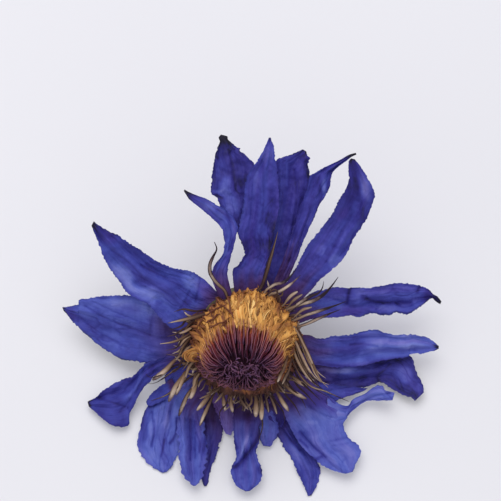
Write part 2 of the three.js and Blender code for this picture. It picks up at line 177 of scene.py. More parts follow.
def sheet_faces(rows: int, columns: int, wrap: bool = False) -> Array:
    """The four-cornered faces of a grid of vertices, numbered row by row.

    Args:
        rows: Vertices along the first parameter.
        columns: Vertices along the second parameter.
        wrap: True where the last column joins the first.

    Returns:
        Faces as rows of four vertex numbers.
    """
    i = np.arange(rows - 1)[:, None]
    j = np.arange(columns if wrap else columns - 1)[None, :]
    after = (j + 1) % columns
    corners = [i * columns + j, i * columns + after, (i + 1) * columns + after, (i + 1) * columns + j]
    return np.stack(np.broadcast_arrays(*corners), axis=-1).reshape(-1, 4)


def barrel_faces(rows: int, columns: int) -> list[Array]:
    """The walls of a turned form, row by row downwards, and the face that closes each end."""
    ring = np.arange(columns)[None, :]
    return [sheet_faces(rows, columns, wrap=True)[:, ::-1], ring, ring[:, ::-1] + (rows - 1) * columns]


def make_mesh(name: str, points: Array, faces: list[Array], values: dict[str, Array]) -> Piece:
    """A smooth mesh object at the origin from points in millimetres.

    Args:
        name: Name of the object and its mesh.
        points: Vertices as (..., 3).
        faces: Arrays of faces; the faces of one array have the same number of corners.
        values: Numbers for each vertex that the materials read, by name.

    Returns:
        The new object, linked to the scene.
    """
    mesh = bpy.data.meshes.new(name)
    points = points.reshape(-1, 3)
    corners = np.concatenate([array.ravel() for array in faces]).astype(np.int32)
    sizes = np.concatenate([np.full(len(array), array.shape[1]) for array in faces])
    starts = np.concatenate([[0], np.cumsum(sizes)[:-1]]).astype(np.int32)
    mesh.vertices.add(len(points))
    mesh.vertices.foreach_set("co", (points * MM).astype(np.float32).ravel())
    mesh.loops.add(len(corners))
    mesh.loops.foreach_set("vertex_index", corners)
    mesh.polygons.add(len(starts))
    mesh.polygons.foreach_set("loop_start", starts)
    mesh.update(calc_edges=True)
    mesh.shade_smooth()
    for key, numbers in values.items():
        layer = mesh.attributes.new(key, "FLOAT", "POINT")
        layer.data.foreach_set("value", np.asarray(numbers, np.float32).ravel())
    made = bpy.data.objects.new(name, mesh)
    bpy.context.scene.collection.objects.link(made)
    return made


@dataclass(frozen=True)
class Bloom:
    """The bloom's directions and the dish that its petals lie on, as the solids have them."""

    sight_elevation: float = math.radians(71.0)
    lean: float = math.radians(38.0)
    hub_height: float = 16.0
    ring_radius: float = 10.0
    layer_pitch: float = 1.9
    root_depth: float = -6.2
    back_slope: float = 0.06
    side_slope: float = -0.26
    front_slope: float = -0.22
    rest_clearance: float = 0.3

    @property
    def across(self) -> Array:
        """To the right of the view."""
        return np.array([1.0, 0.0, 0.0])

    @property
    def up(self) -> Array:
        """Up the view."""
        return np.array([0.0, math.sin(self.sight_elevation), math.cos(self.sight_elevation)])

    @property
    def towards(self) -> Array:
        """Out of the view, to the viewer."""
        return np.array([0.0, -math.cos(self.sight_elevation), math.sin(self.sight_elevation)])

    @property
    def axis(self) -> Array:
        """The bloom's own axis, out of its middle."""
        return np.array([0.0, -math.sin(self.lean), math.cos(self.lean)])

    @property
    def backward(self) -> Array:
        """Square to the axis, towards the back petals."""
        return np.cross(self.axis, self.across)

    @property
    def hub(self) -> Array:
        """The middle of the stamen ring."""
        return self.axis * self.hub_height / math.cos(self.lean)

    @property
    def tilt(self) -> float:
        """The tangent of the angle between the axis and the line of sight."""
        return math.tan(self.lean - (math.pi / 2.0 - self.sight_elevation))

    def from_view(self, x: Array, y: Array, depth: Array) -> Array:
        """Points across and up from the hub and towards the viewer, in the part's frame."""
        x, y, depth = (np.asarray(value)[..., None] for value in (x, y, depth))
        return self.hub + x * self.across + y * self.up + depth * self.towards

    def from_axis(self, radius: Array, angle: Array, height: Array, nod: float = 0.0) -> Array:
        """Points placed round the axis.

        Args:
            radius: Distance from the axis.
            angle: Turn round it, 0 at the right and a quarter turn at the back.
            height: Height over the stamen ring.
            nod: How far the bloom's middle nods forward, as a share of the height over 2 mm.

        Returns:
            The points in the part's frame.
        """
        radius, angle, height = np.broadcast_arrays(radius, angle, height)
        sideways = (radius * np.cos(angle))[..., None] * self.across
        back = (radius * np.sin(angle))[..., None] * self.backward
        forward = (nod * np.maximum(height - 2.0, 0.0))[..., None] * -self.backward
        return self.hub + sideways + back + height[..., None] * self.axis + forward

    def from_plan(self, across: Array, back: Array, height: Array, nod: float) -> Array:
        """Points placed across and back from the axis, and else as from_axis has them."""
        return self.from_axis(np.hypot(across, back), np.arctan2(back, across), height, nod)

    def dish_depth(self, x: Array, y: Array) -> Array:
        """How far towards the viewer the lowest petals lie.

        The dish follows the tilted ring out to its radius, then slopes at a rate that goes from the
        side's to the back's or front's. Where it would pass through the table it bends out along it:
        resting + log(1 + exp(hanging - resting)).

        Args:
            x: Across, from the hub.
            y: Up the view, from the hub.

        Returns:
            The depth of the lowest layer at each place.
        """
        radius = np.hypot(x, y)
        behind = y / np.maximum(radius, 1.0)
        full = np.where(behind > 0.0, self.back_slope, self.front_slope)
        slope = self.side_slope + (full - self.side_slope) * np.abs(behind)
        hanging = self.root_depth + self.ring_radius * behind * self.tilt
        hanging = hanging + slope * np.maximum(radius - self.ring_radius, 0.0)
        over_table = self.hub_height + y * math.cos(self.sight_elevation)
        resting = self.rest_clearance - over_table / math.sin(self.sight_elevation)
        return resting + np.log1p(np.exp(hanging - resting))


BLOOM = Bloom()


class Graph:
    """The nodes of a material or a node group, added and wired in one call each."""

    def __init__(self, tree: NodeTree) -> None:
        """Starts on a tree with no nodes in it."""
        self.tree = tree
        tree.nodes.clear()

    def add(self, kind: str, inputs: Inputs | None = None, **settings: object) -> bpy.types.Node:
        """Adds a node.

        Args:
            kind: The node's type.
            inputs: A value or another node's output for each named or numbered input.
            settings: Properties of the node itself.

        Returns:
            The new node.
        """
        node = self.tree.nodes.new(kind)
        for key, value in settings.items():
            setattr(node, key, value)
        for key, value in (inputs or {}).items():
            if isinstance(value, Socket):
                self.tree.links.new(value, node.inputs[key])
            else:
                node.inputs[key].default_value = value
        return node

    def read(self, name: str) -> Socket:
        """A number that the mesh carries at each vertex."""
        return self.add("ShaderNodeAttribute", attribute_name=name).outputs["Fac"]

    def own_place(self) -> Socket:
        """The place on the object."""
        return self.add("ShaderNodeTexCoord").outputs["Object"]

    def flat_place(self, lane: object, reach: object) -> Socket:
        """A place across and along the surface."""
        return self.add("ShaderNodeCombineXYZ", {0: lane, 1: reach}).outputs[0]

    def noise(self, place: object, scale: object, detail: float, roughness: float = 0.5) -> Socket:
        """Soft noise from 0 to 1."""
        inputs = {"Vector": place, "Scale": scale, "Detail": detail, "Roughness": roughness}
        return self.add("ShaderNodeTexNoise", inputs).outputs[0]

    def math(self, operation: str, *values: object) -> Socket:
        """One sum of numbers."""
        return self.add("ShaderNodeMath", dict(enumerate(values)), operation=operation).outputs[0]

    def plus(self, total: object, value: object, factor: object) -> Socket:
        """A total with a value added, the value first multiplied by a factor."""
        return self.math("MULTIPLY_ADD", value, factor, total)

    def clamp(self, value: object) -> Socket:
        """A number kept from 0 to 1."""
        return self.add("ShaderNodeClamp", {0: value}).outputs[0]

    def mix(self, factor: object, low: object, high: object) -> Socket:
        """A colour between two, by a factor from 0 to 1."""
        return self.add("ShaderNodeMix", {0: factor, 6: low, 7: high}, data_type="RGBA").outputs[2]

    def ramp(self, value: object, row: Stops) -> Socket:
        """Reads a colour off a row of stops.

        Args:
            value: The place on the row, from 0 to 1.
            row: The stops.

        Returns:
            The colour.
        """
        node = self.add("ShaderNodeValToRGB", {0: value})
        points = node.color_ramp.elements
        while len(points) < len(row):
            points.new(0.5)
        for point, (place, colour) in zip(points, row):
            point.position, point.color = place, colour
        return node.outputs["Color"]

    def group(self, tree: NodeTree, **inputs: object) -> Socket:
        """Places a node group; each input is named by its label in small letters."""
        labelled = {key.capitalize(): value for key, value in inputs.items()}
        return self.add("ShaderNodeGroup", labelled, node_tree=tree).outputs[0]


def make_group(name: str, inputs: str, output: str, pattern: Callable[..., Socket]) -> NodeTree:
    """Makes a node group of numbers.

    Args:
        name: The group's name.
        inputs: The labels of its number inputs, with spaces between them.
        output: The label of its one number output.
        pattern: Wires the group, given its graph and its inputs, and gives the result.

    Returns:
        The group.
    """
    tree = bpy.data.node_groups.new(name, "ShaderNodeTree")
    for label in inputs.split():
        tree.interface.new_socket(name=label, in_out="INPUT", socket_type="NodeSocketFloat")
    tree.interface.new_socket(name=output, in_out="OUTPUT", socket_type="NodeSocketFloat")
    graph = Graph(tree)
    start = graph.add("NodeGroupInput")
    result = pattern(graph, *(start.outputs[label] for label in inputs.split()))
    graph.add("NodeGroupOutput", {0: result})
    return tree


class Effects:
    """The patterns that several finishes share, as node groups of numbers."""

    def __init__(self) -> None:
        """Builds the groups once."""
        self.streaks = make_group("Drawn-out streaks", "Lane Reach Fineness", "Streak", self._streaks)
        self.mottle = make_group("Dried mottling", "Size", "Patch", self._mottle)
        self.wrinkles = make_group("Vein and crepe", "Lane Reach Veins", "Height", self._wrinkles)
        self.creases = make_group("Fine creases", "Lane Reach Spacing", "Crease", self._creases)

    @staticmethod
    def _streaks(graph: Graph, lane: Socket, reach: Socket, fineness: Socket) -> Socket:
        """Long soft streaks: noise drawn out 14 times along the reach.

        Args:
            graph: The group's nodes.
            lane: Place across the surface, in millimetres.
            reach: Place along it.
            fineness: Streaks to the millimetre, about.

        Returns:
            The streaks, from -0.5 to 0.5.
        """
        lane = graph.math("MULTIPLY", lane, fineness)
        reach = graph.math("DIVIDE", graph.math("MULTIPLY", reach, fineness), 14.0)
        return graph.math("SUBTRACT", graph.noise(graph.flat_place(lane, reach), 1.0, 3.0, 0.6), 0.5)

    @staticmethod
    def _mottle(graph: Graph, size: Socket) -> Socket:
        """Cloudy patches of a size in millimetres, from -0.5 to 0.5."""
        scale = graph.math("DIVIDE", 1.0 / MM, size)
        return graph.math("SUBTRACT", graph.noise(graph.own_place(), scale, 4.0, 0.62), 0.5)

    @staticmethod
    def _wrinkles(graph: Graph, lane: Socket, reach: Socket, veins: Socket) -> Socket:
        """Height of fine veins along the reach with a creped skin between them."""
        place = graph.flat_place(graph.math("MULTIPLY", lane, veins), graph.math("MULTIPLY", reach, 0.12))
        return graph.plus(graph.noise(place, 1.0, 2.0), graph.noise(graph.own_place(), 1600.0, 3.0), 0.6)

    @staticmethod
    def _creases(graph: Graph, lane: Socket, reach: Socket, spacing: Socket) -> Socket:
        """Thin wandering lines, 1 on a line and 0 off it, that come and go.

        A line is where noise drawn out three times along the reach passes its middle:
        1 - 18 |noise - 0.5|. A broader noise lets some of them through.

        Args:
            graph: The group's nodes.
            lane: Place across the surface, in millimetres.
            reach: Place along it.
            spacing: How far apart the lines lie, about.

        Returns:
            The lines.
        """
        reach = graph.math("DIVIDE", reach, graph.math("MULTIPLY", spacing, 3.0))
        place = graph.flat_place(graph.math("DIVIDE", lane, spacing), reach)
        off = graph.math("ABSOLUTE", graph.math("SUBTRACT", graph.noise(place, 1.0, 1.5), 0.5))
        line = graph.clamp(graph.plus(1.0, off, -18.0))
        return graph.math("MULTIPLY", line, graph.clamp(graph.plus(-2.2, graph.noise(place, 0.37, 1.0), 5.0)))


@dataclass(frozen=True)
class Finish:
    """What every dried surface has; each kind adds its own colours."""

    name: str
    roughness: float = 0.65
    sheen: float = 0.0
    specular: float = 0.3
    bump: float = 0.5
    veins: float = 2.4
    crease_spacing: float = 2.2
    crease_depth: float = 0.7

    def colour(self, graph: Graph, effects: Effects, lane: Socket, reach: Socket) -> Socket:
        """The colour over the surface; each kind of finish has its own.

        Args:
            graph: The material's nodes.
            effects: The shared patterns.
            lane: Place across the surface, in millimetres.
            reach: Place along it.

        Returns:
            The colour.
        """
        raise NotImplementedError

    def make(self, effects: Effects) -> bpy.types.Material:
        """Builds the material.

        Args:
            effects: The shared patterns.

        Returns:
            The new material.
        """
        material = bpy.data.materials.new(self.name)
        material.use_nodes = True
        graph = Graph(material.node_tree)
        lane, reach = graph.read("lane"), graph.read("reach")
        height = graph.group(effects.wrinkles, lane=lane, reach=reach, veins=self.veins)
        crease = graph.group(effects.creases, lane=lane, reach=reach, spacing=self.crease_spacing)
        height = graph.plus(height, crease, -self.crease_depth)
        normal = graph.add("ShaderNodeBump", {"Strength": self.bump, "Distance": 0.3 * MM, "Height": height})
        shader = graph.add("ShaderNodeBsdfPrincipled", {
            "Base Color": self.colour(graph, effects, lane, reach),
            "Roughness": graph.plus(self.roughness, graph.group(effects.mottle, size=1.5), 0.35),
            "Normal": normal.outputs[0],
            "Specular IOR Level": self.specular,
            "Sheen Weight": self.sheen,
            "Sheen Roughness": 0.4,
        })
        graph.add("ShaderNodeOutputMaterial", {"Surface": shader.outputs[0]})
        return material


@dataclass(frozen=True)
class PetalFinish(Finish):
    """Blue-violet petal skin: pale to indigo by tone, maroon at the root, near black where burnt."""

    blue: Stops = stops((0, 20, 17, 66), (0.25, 42, 40, 126), (0.5, 60, 68, 158), (0.75, 86, 98, 184),
                        (1, 122, 130, 202))
    purple: Stops = stops((0, 24, 14, 58), (0.25, 48, 36, 120), (0.5, 70, 55, 148), (0.75, 98, 82, 166),
                          (1, 132, 116, 192))
    root: Stops = stops((0, 42, 18, 46), (0.5, 66, 36, 92), (1, 104, 74, 144))
    burnt: Colour = screen(22, 17, 36)
    underside: Stops = stops((0, 44, 40, 104), (0.5, 84, 86, 158), (1, 140, 142, 200))

    def colour(self, graph: Graph, effects: Effects, lane: Socket, reach: Socket) -> Socket:
        """Tone with streaks and patches on it picks from each row of colours; masks choose the row."""
        broad = graph.group(effects.streaks, lane=lane, reach=reach, fineness=0.9)
        fine = graph.group(effects.streaks, lane=lane, reach=reach, fineness=3.2)
        tone = graph.plus(graph.read("tone"), broad, 0.24)
        tone = graph.plus(tone, fine, 0.13)
        tone = graph.plus(tone, graph.group(effects.mottle, size=3.0), 0.42)
        # Painted shade: the tone darkens along the fine creases that are also bumped into the surface.
        for spacing, depth in ((self.crease_spacing, -0.15), (0.45 * self.crease_spacing, -0.09)):
            crease = graph.group(effects.creases, lane=lane, reach=reach, spacing=spacing)
            tone = graph.plus(tone, crease, depth)
        hue = graph.mix(graph.read("violet"), graph.ramp(tone, self.blue), graph.ramp(tone, self.purple))
        hue = graph.mix(graph.read("under"), hue, graph.ramp(tone, self.underside))
        hue = graph.mix(graph.read("root"), hue, graph.ramp(tone, self.root))
        return graph.mix(graph.read("burnt"), hue, self.burnt)


@dataclass(frozen=True)
class StrandFinish(Finish):
    """Stamen skin: a row of colours along each strand, made lighter or darker strand by strand."""

    roughness: float = 0.6
    specular: float = 0.2
    veins: float = 4.0
    along: Stops = stops((0, 62, 34, 32), (0.25, 84, 56, 44), (0.45, 116, 88, 66), (0.62, 166, 136, 110),
                         (0.78, 214, 191, 170), (0.9, 132, 108, 104), (0.97, 34, 28, 42))
    dark: Colour = screen(46, 26, 34)

    def colour(self, graph: Graph, effects: Effects, lane: Socket, reach: Socket) -> Socket:
        """The stage along the strand picks the colour, and a low tone and streaks darken it."""
        streak = graph.group(effects.streaks, lane=lane, reach=reach, fineness=5.0)
        cloud = graph.group(effects.mottle, size=1.2)
        hue = graph.ramp(graph.plus(graph.read("stage"), cloud, 0.25), self.along)
        shade = graph.plus(graph.plus(graph.read("shade"), streak, 0.9), cloud, 0.5)
        return graph.mix(graph.clamp(shade), hue, self.dark)


@dataclass(frozen=True)
class SkinFinish(Finish):
    """Wrinkled skin of the ovary and stalk, with a paler pith where the stalk was cut."""

    skin: Stops = stops((0.2, 58, 44, 38), (0.5, 96, 88, 56), (0.8, 132, 122, 82))
    pith: Stops = stops((0.2, 112, 88, 58), (0.8, 178, 156, 112))

    def colour(self, graph: Graph, effects: Effects, lane: Socket, reach: Socket) -> Socket:
        """Streaks and patches pick from the skin's colours, or from the pith's on the cut."""
        streak = graph.group(effects.streaks, lane=lane, reach=reach, fineness=1.5)
        tone = graph.plus(graph.read("tone"), streak, 0.9)
        tone = graph.plus(tone, graph.group(effects.mottle, size=2.0), 0.7)
        return graph.mix(graph.read("cut"), graph.ramp(tone, self.skin), graph.ramp(tone, self.pith))


@dataclass(frozen=True)
class Fold:
    """A ridge or, with a negative height, a valley that runs along a petal."""

    root: float
    tip: float
    height: float
    width: float = 0.2
    first: float = 0.3
    last: float = 1.0


@dataclass(frozen=True)
class Patch:
    """A lighter or, with a negative tone, a darker place on a petal.

    It lies at x and y in the view, long and wide are its half sizes, and its length is turned by
    angle degrees. Some patches are the petal's own colour and some are painted light: highlights on
    lit folds and steps, shade in folds, and shadows cast by petals that lie over it.
    """

    x: float
    y: float
    tone: float
    long: float
    wide: float
    angle: float = 0.0
    violet: float = 0.0

    def weight(self, x: Array, y: Array) -> Array:
        """exp(-q^2) with q = (u / long)^2 + (v / wide)^2, for u along and v across the patch.

        Args:
            x: Across, from the hub.
            y: Up the view, from the hub.

        Returns:
            1 in the patch's middle, falling to 0 round it.
        """
        turn = math.radians(self.angle)
        u = (x - self.x) * math.cos(turn) + (y - self.y) * math.sin(turn)
        v = (y - self.y) * math.cos(turn) - (x - self.x) * math.sin(turn)
        return np.exp(-(((u / self.long) ** 2 + (v / self.wide) ** 2) ** 2))


@dataclass(frozen=True)
class Crease:
    """A sharp crease that dried in: its path in the view, its tone, its breadth and its height.
    Its tone is painted light: darker for shade in the crease, lighter for a highlight on a ridge.
    """

    path: Points
    tone: float = -0.12
    width: float = 0.25
    height: float = -0.3

    def gap(self, x: Array, y: Array) -> Array:
        """Distance in the view to the path, taken as short straight stretches.

        The nearest place of a stretch is a + (b - a) clamp((p - a).(b - a) / |b - a|^2, 0, 1).

        Args:
            x: Across, from the hub.
            y: Up the view, from the hub.

        Returns:
            The smallest distance, of the shape of x.
        """
        line = smooth_curve(self.path, even(2 * len(self.path)))
        gap = np.full(x.shape, np.inf)
        for (ax, ay), (bx, by) in zip(line, line[1:]):
            dx, dy = bx - ax, by - ay
            share = np.clip(((x - ax) * dx + (y - ay) * dy) / (dx * dx + dy * dy), 0.0, 1.0)
            gap = np.minimum(gap, np.hypot(x - ax - share * dx, y - ay - share * dy))
        return gap


@dataclass(frozen=True)
class Petal:
    """One petal or sepal: its outline as seen along the view, and how it dried.

    left and right are its edges from root to tip, as across and up from the hub point after point.
    Side runs from -1 at the left edge to 1 at the right one, and along from 0 at the root to 1 at
    the tip. Where it rests on the table its faces stay at lowest_upper and lowest_under.
    """

    name: str
    left: Points
    right: Points
    layer: float = 0.0
    lift: float = 0.0
    curl: float = 0.0
    cup: float = 0.2
    slot: Slot = Slot.PETAL
    tone: float = 0.5
    violet: float = 0.3
    root: float = 0.3
    folds: tuple[Fold, ...] = ()
    patches: tuple[Patch, ...] = ()
    creases: tuple[Crease, ...] = ()
    ragged: float = 0.2
    ruffle: float = 0.3
    crumple: float = 1.0
    burnt_tip: float = 0.0
    burnt_edge: float = 0.5
    node: bool = True
    half_thickness: float = 0.14
    spacing: float = 0.19
    last_row: float = 0.992
    lowest_upper: float = 0.26
    lowest_under: float = 0.02

    @property
    def seed(self) -> int:
        """A number of its own for each petal, from its name."""
        return sum(ord(letter) * (place + 3) for place, letter in enumerate(self.name))

    @property
    def length(self) -> float:
        """Length of the straight line from root to tip."""
        return math.dist(self.left[:2], self.left[-2:])

    def edges(self, along: Array) -> tuple[Array, Array]:
        """The left and right edge at each row, in the view."""
        left, right = (smooth_curve(edge, along[:, 0])[:, None, :] for edge in (self.left, self.right))
        return left, right

    def grid(self) -> tuple[Array, Array]:
        """Places along and across the petal, about a spacing apart and closer at its edges.

        Returns:
            Along and side, as grids of rows from root to tip and columns from left to right.
        """
        left, right = self.edges(even(50)[:, None])
        half = 0.5 * float(np.linalg.norm(right - left, axis=-1).max())
        u = np.linspace(-1.0, 1.0, 2 * round(half / self.spacing) + 1)[None, :]
        along = np.linspace(0.0, self.last_row, round(self.length / self.spacing))[:, None]
        return along + 0 * u, 0.5 * u + 0.5 * np.sin(0.5 * math.pi * u) + 0 * along

    def outline(self, along: Array, side: Array) -> tuple[Array, Array, Array]:
        """Places on the petal with its edge torn and nibbled.

        A place is left + (right - left) (side + 1) / 2, moved sideways near the edge by noise that
        is slow in part and sharp in part.

        Args:
            along: Place along the petal, as a grid.
            side: Place across it, as a grid.

        Returns:
            Across and up in the view, and the petal's breadth.
        """
        left, right = self.edges(along)
        span = right - left
        breadth = np.linalg.norm(span, axis=-1)
        direction = span / np.maximum(breadth, 1e-6)[..., None]
        reach = along * self.length
        hand = np.sign(side)
        slow = drift(reach / 5.0, 3.0 * hand, self.seed + 1)
        quick = np.abs(drift(reach / 1.3, 3.0 * hand, self.seed + 2))
        fine = drift(reach / 0.42, 3.0 * hand, self.seed + 12)
        nibble = self.ragged * (0.6 * slow - 0.9 * quick + 0.45 * fine) * smoothstep(0.12, 0.35, along)
        shift = hand * nibble * np.minimum(1.0, breadth / 4.0) * np.abs(side) ** 5
        spot = left + span * ((side + 1.0) / 2.0)[..., None] + direction * shift[..., None]
        return spot[..., 0], spot[..., 1], breadth

    def relief(self, along: Array, side: Array, x: Array, y: Array) -> Array:
        """Height over the dish: the layer and large bends, then folds, creases, crumple and ruffle.

        Args:
            along: Place along the petal, as a grid.
            side: Place across it, as a grid.
            x: Across in the view, at each place.
            y: Up the view, at each place.

        Returns:
            The height, towards the viewer.
        """
        height = self.layer * BLOOM.layer_pitch + self.lift * smoothstep(0.25, 1.0, along) ** 2
        height = height + self.curl * smoothstep(0.6, 1.0, along)
        height = height + self.cup * np.sin(math.pi * along) * side**2
        for fold in self.folds:
            line = fold.root + (fold.tip - fold.root) * along
            line = line + 0.07 * drift(3.0 * along, 0.0, self.seed + 3)
            window = smoothstep(fold.first, fold.first + 0.12, along)
            window = window * (1.0 - smoothstep(fold.last - 0.15, fold.last, along))
            height = height + fold.height * bell(side, line, fold.width) * window
        for crease in self.creases:
            height = height + crease.height * np.exp(-crease.gap(x, y) / crease.width)
        fade = smoothstep(0.05, 0.3, along) * (1.0 - 0.6 * smoothstep(0.9, 1.0, along))
        wander = 0.6 * drift(1.4 * along, 1.2 * side, self.seed + 4)
        veins = 0.05 * np.cos(FULL_TURN * (3.1 * side + 2.0 * wander))
        pleat = np.abs(drift(side * 0.9 + 0.4 * wander, along * self.length / 14.0, self.seed + 15))
        crumpled = np.abs(drift(x / 5.0, y / 5.0, self.seed + 16))
        crumple = 0.16 * drift(x / 3.0, y / 3.0, self.seed + 5) + 0.06 * drift(x, y, self.seed + 6)
        pleats = 0.45 * np.minimum(pleat, 0.8) + 0.4 * np.minimum(crumpled, 0.7) - 0.4
        crumple = crumple + self.crumple * pleats
        beat = FULL_TURN * along * self.length / 6.5 + 2.2 * side
        beat = beat + drift(3.0 * along, side, self.seed + 7)
        swell = np.sin(math.pi * np.minimum(along + 0.1, 1.0))
        return height + fade * (veins + crumple) + self.ruffle * np.sin(beat) * np.abs(side) ** 3 * swell

    def tones(self, along: Array, side: Array, x: Array, y: Array, edge_gap: Array) -> dict[str, Array]:
        """The numbers that the finish reads: tone, and masks for violet, root and burnt places.

        Args:
            along: Place along the petal, as a grid.
            side: Place across it, as a grid.
            x: Across in the view, at each place.
            y: Up the view, at each place.
            edge_gap: Distance to the nearer edge.

        Returns:
            A grid of numbers for each of the four names.
        """
        reach = along * self.length
        tone = self.tone + 0.05 * drift(1.6 * along, 0.8 * side, self.seed + 9)
        tone = tone + 0.04 * drift(reach / 3.5, 1.1 * side, self.seed + 17)
        tone = tone - 0.1 * np.exp(-edge_gap / 0.6)
        violet = self.violet + 0.25 * drift(2.0 * along, 2.0 * side, self.seed + 8)
        warped_x = x + 0.5 * drift(x / 3.5, y / 3.5, self.seed + 18)
        warped_y = y + 0.5 * drift(x / 3.5, y / 3.5, self.seed + 19)
        # Patches and creases add the petal's own tone changes and painted light: highlights on lit folds and
        # ridges, shade in creases and folds, and shadows cast by petals that lie over others.
        for patch in self.patches:
            weight = patch.weight(warped_x, warped_y)
            tone, violet = tone + patch.tone * weight, violet + patch.violet * weight
        for crease in self.creases:
            tone = tone + crease.tone * bell(crease.gap(x, y), 0.0, crease.width)
        uneven = smoothstep(-0.1, 1.3, drift(reach / 2.6, 2.0 * np.sign(side), self.seed + 10))
        rim = self.burnt_edge * uneven * bell(edge_gap, 0.0, 0.32) * smoothstep(0.15, 0.4, along)
        wavy = along + 0.02 * drift(2.5 * side, along, self.seed + 11)
        tip = smoothstep(1.0 - 1.7 * self.burnt_tip, 1.0 - 0.5 * self.burnt_tip, wavy)
        foot = along + 0.05 * drift(2.0 * side, 4.0 * along, self.seed)
        return {
            "tone": tone,
            "violet": np.clip(violet, 0.0, 1.0),
            "root": 1.0 - smoothstep(0.5 * self.root, 1.3 * self.root, foot),
            "burnt": np.clip(rim + tip, 0.0, 1.0),
        }

    def build(self) -> Piece:
        """Makes the petal as a closed thin sheet: two faces and the rim between them.

        Returns:
            The new object.
        """
        along, side = self.grid()
        rows, columns = along.shape
        x, y, breadth = self.outline(along, side)
        depth = BLOOM.dish_depth(x, y) + self.relief(along, side, x, y)
        thin = self.half_thickness * (1.0 - 0.45 * np.abs(side) ** 6)
        upper, under = (BLOOM.from_view(x, y, face).reshape(-1, 3) for face in (depth + thin, depth - thin))
        upper[:, 2] = np.maximum(upper[:, 2], self.lowest_upper)
        under[:, 2] = np.maximum(under[:, 2], self.lowest_under)
        count = len(upper)
        number = np.arange(count).reshape(rows, columns)
        loop = np.concatenate([number[0, :-1], number[:-1, -1], number[-1, :0:-1], number[:0:-1, 0]])
        after = np.roll(loop, -1)
        rim = np.stack([loop + count, after + count, after, loop], axis=-1)
        grid = sheet_faces(rows, columns)
        values = self.tones(along, side, x, y, (1.0 - np.abs(side)) * breadth / 2.0)
        # Each petal has a lane of its own, so that no two carry the same streaks.
        values["lane"] = side * breadth / 2.0 + 37.0 * (self.seed % 61)
        values["reach"] = along * self.length
        doubled = {key: np.tile(array.ravel(), 2) for key, array in values.items()}
        doubled["under"] = np.repeat([0.0, 1.0], count)
        faces = [grid, grid[:, ::-1] + count, rim]
        return make_mesh(f"{self.name}_dried", np.concatenate([upper, under]), faces, doubled)


@dataclass(frozen=True)
class Bundle:
    """Dried strands in one mesh: flattened tubes along smooth paths, closed at both ends.

    paths is (strands, points, 3). half_width and half_height are each strand's section at its foot,
    and profile gives (along, scale) pairs for it. The section turns by roll from foot to tip.
    shaded_sides is painted shade: how much darker each strand grows from its middle to its two
    sides, for the sides turned from the light and the gaps between strands.
    """

    name: str
    paths: Array
    half_width: Array
    half_height: Array
    roll: Array
    shade: Array
    profile: Outline
    facing: Array
    last_stage: Array | float = 1.0
    first_stage: Array | float = 0.0
    shaded_sides: float = 0.0
    steps: int = 18
    sides: int = 6

    def build(self) -> Piece:
        """Sweeps each section along its path: spine + w cos(a) wide + h sin(a) high.

        Returns:
            The new object.
        """
        t = even(self.steps)
        spine = smooth_curves(self.paths, t)
        tangent = unit(np.gradient(spine, axis=1))
        outward = unit(np.cross(self.facing, tangent))
        normal = np.cross(tangent, outward)
        turn = (self.roll[:, None] * t)[..., None]
        wide = np.cos(turn) * outward + np.sin(turn) * normal
        high = np.cos(turn) * normal - np.sin(turn) * outward
        scale = np.interp(t, *np.array(self.profile).T)
        angle = FULL_TURN * (np.arange(self.sides) + 0.5) / self.sides
        across = (self.half_width[:, None] * scale)[..., None] * np.cos(angle)
        above = (self.half_height[:, None] * scale)[..., None] * np.sin(angle)
        points = spine[:, :, None, :] + across[..., None] * wide[:, :, None, :]
        points = points + above[..., None] * high[:, :, None, :]
        strands = len(self.paths)
        block = self.steps * self.sides
        first = (np.arange(strands) * block)[:, None]
        walls = (sheet_faces(self.steps, self.sides, wrap=True) + first[..., None]).reshape(-1, 4)
        foot = np.arange(self.sides)[::-1] + first
        tip = np.arange(block - self.sides, block) + first
        ones = np.ones(points.shape[:3])
        length = np.linalg.norm(np.diff(spine, axis=1), axis=-1).sum(axis=1)
        stages = (self.first_stage, self.last_stage)
        begin, last = (np.broadcast_to(stage, (strands,))[:, None] for stage in stages)
        values = {
            "lane": across * ones + 9.0 * np.arange(strands)[:, None, None],
            "reach": (length[:, None] * t)[..., None] * ones,
            "stage": (begin + (last - begin) * t)[..., None] * ones,
            # Painted shade: darker towards each strand's two sides.
            "shade": self.shade.reshape(strands, -1, 1) * ones + self.shaded_sides * np.cos(angle) ** 2,
        }
        return make_mesh(self.name, points, [walls, foot, tip], values)


@dataclass(frozen=True)
class Stray:
    """An outer stamen that stands out: its path in the view, and its tip's height over the petals."""

    path: Points
    rise: float
    half_width: float
    shade: float
    last_stage: float = 1.0
    first_stage: float = 0.0
    over_ring: float = 0.5


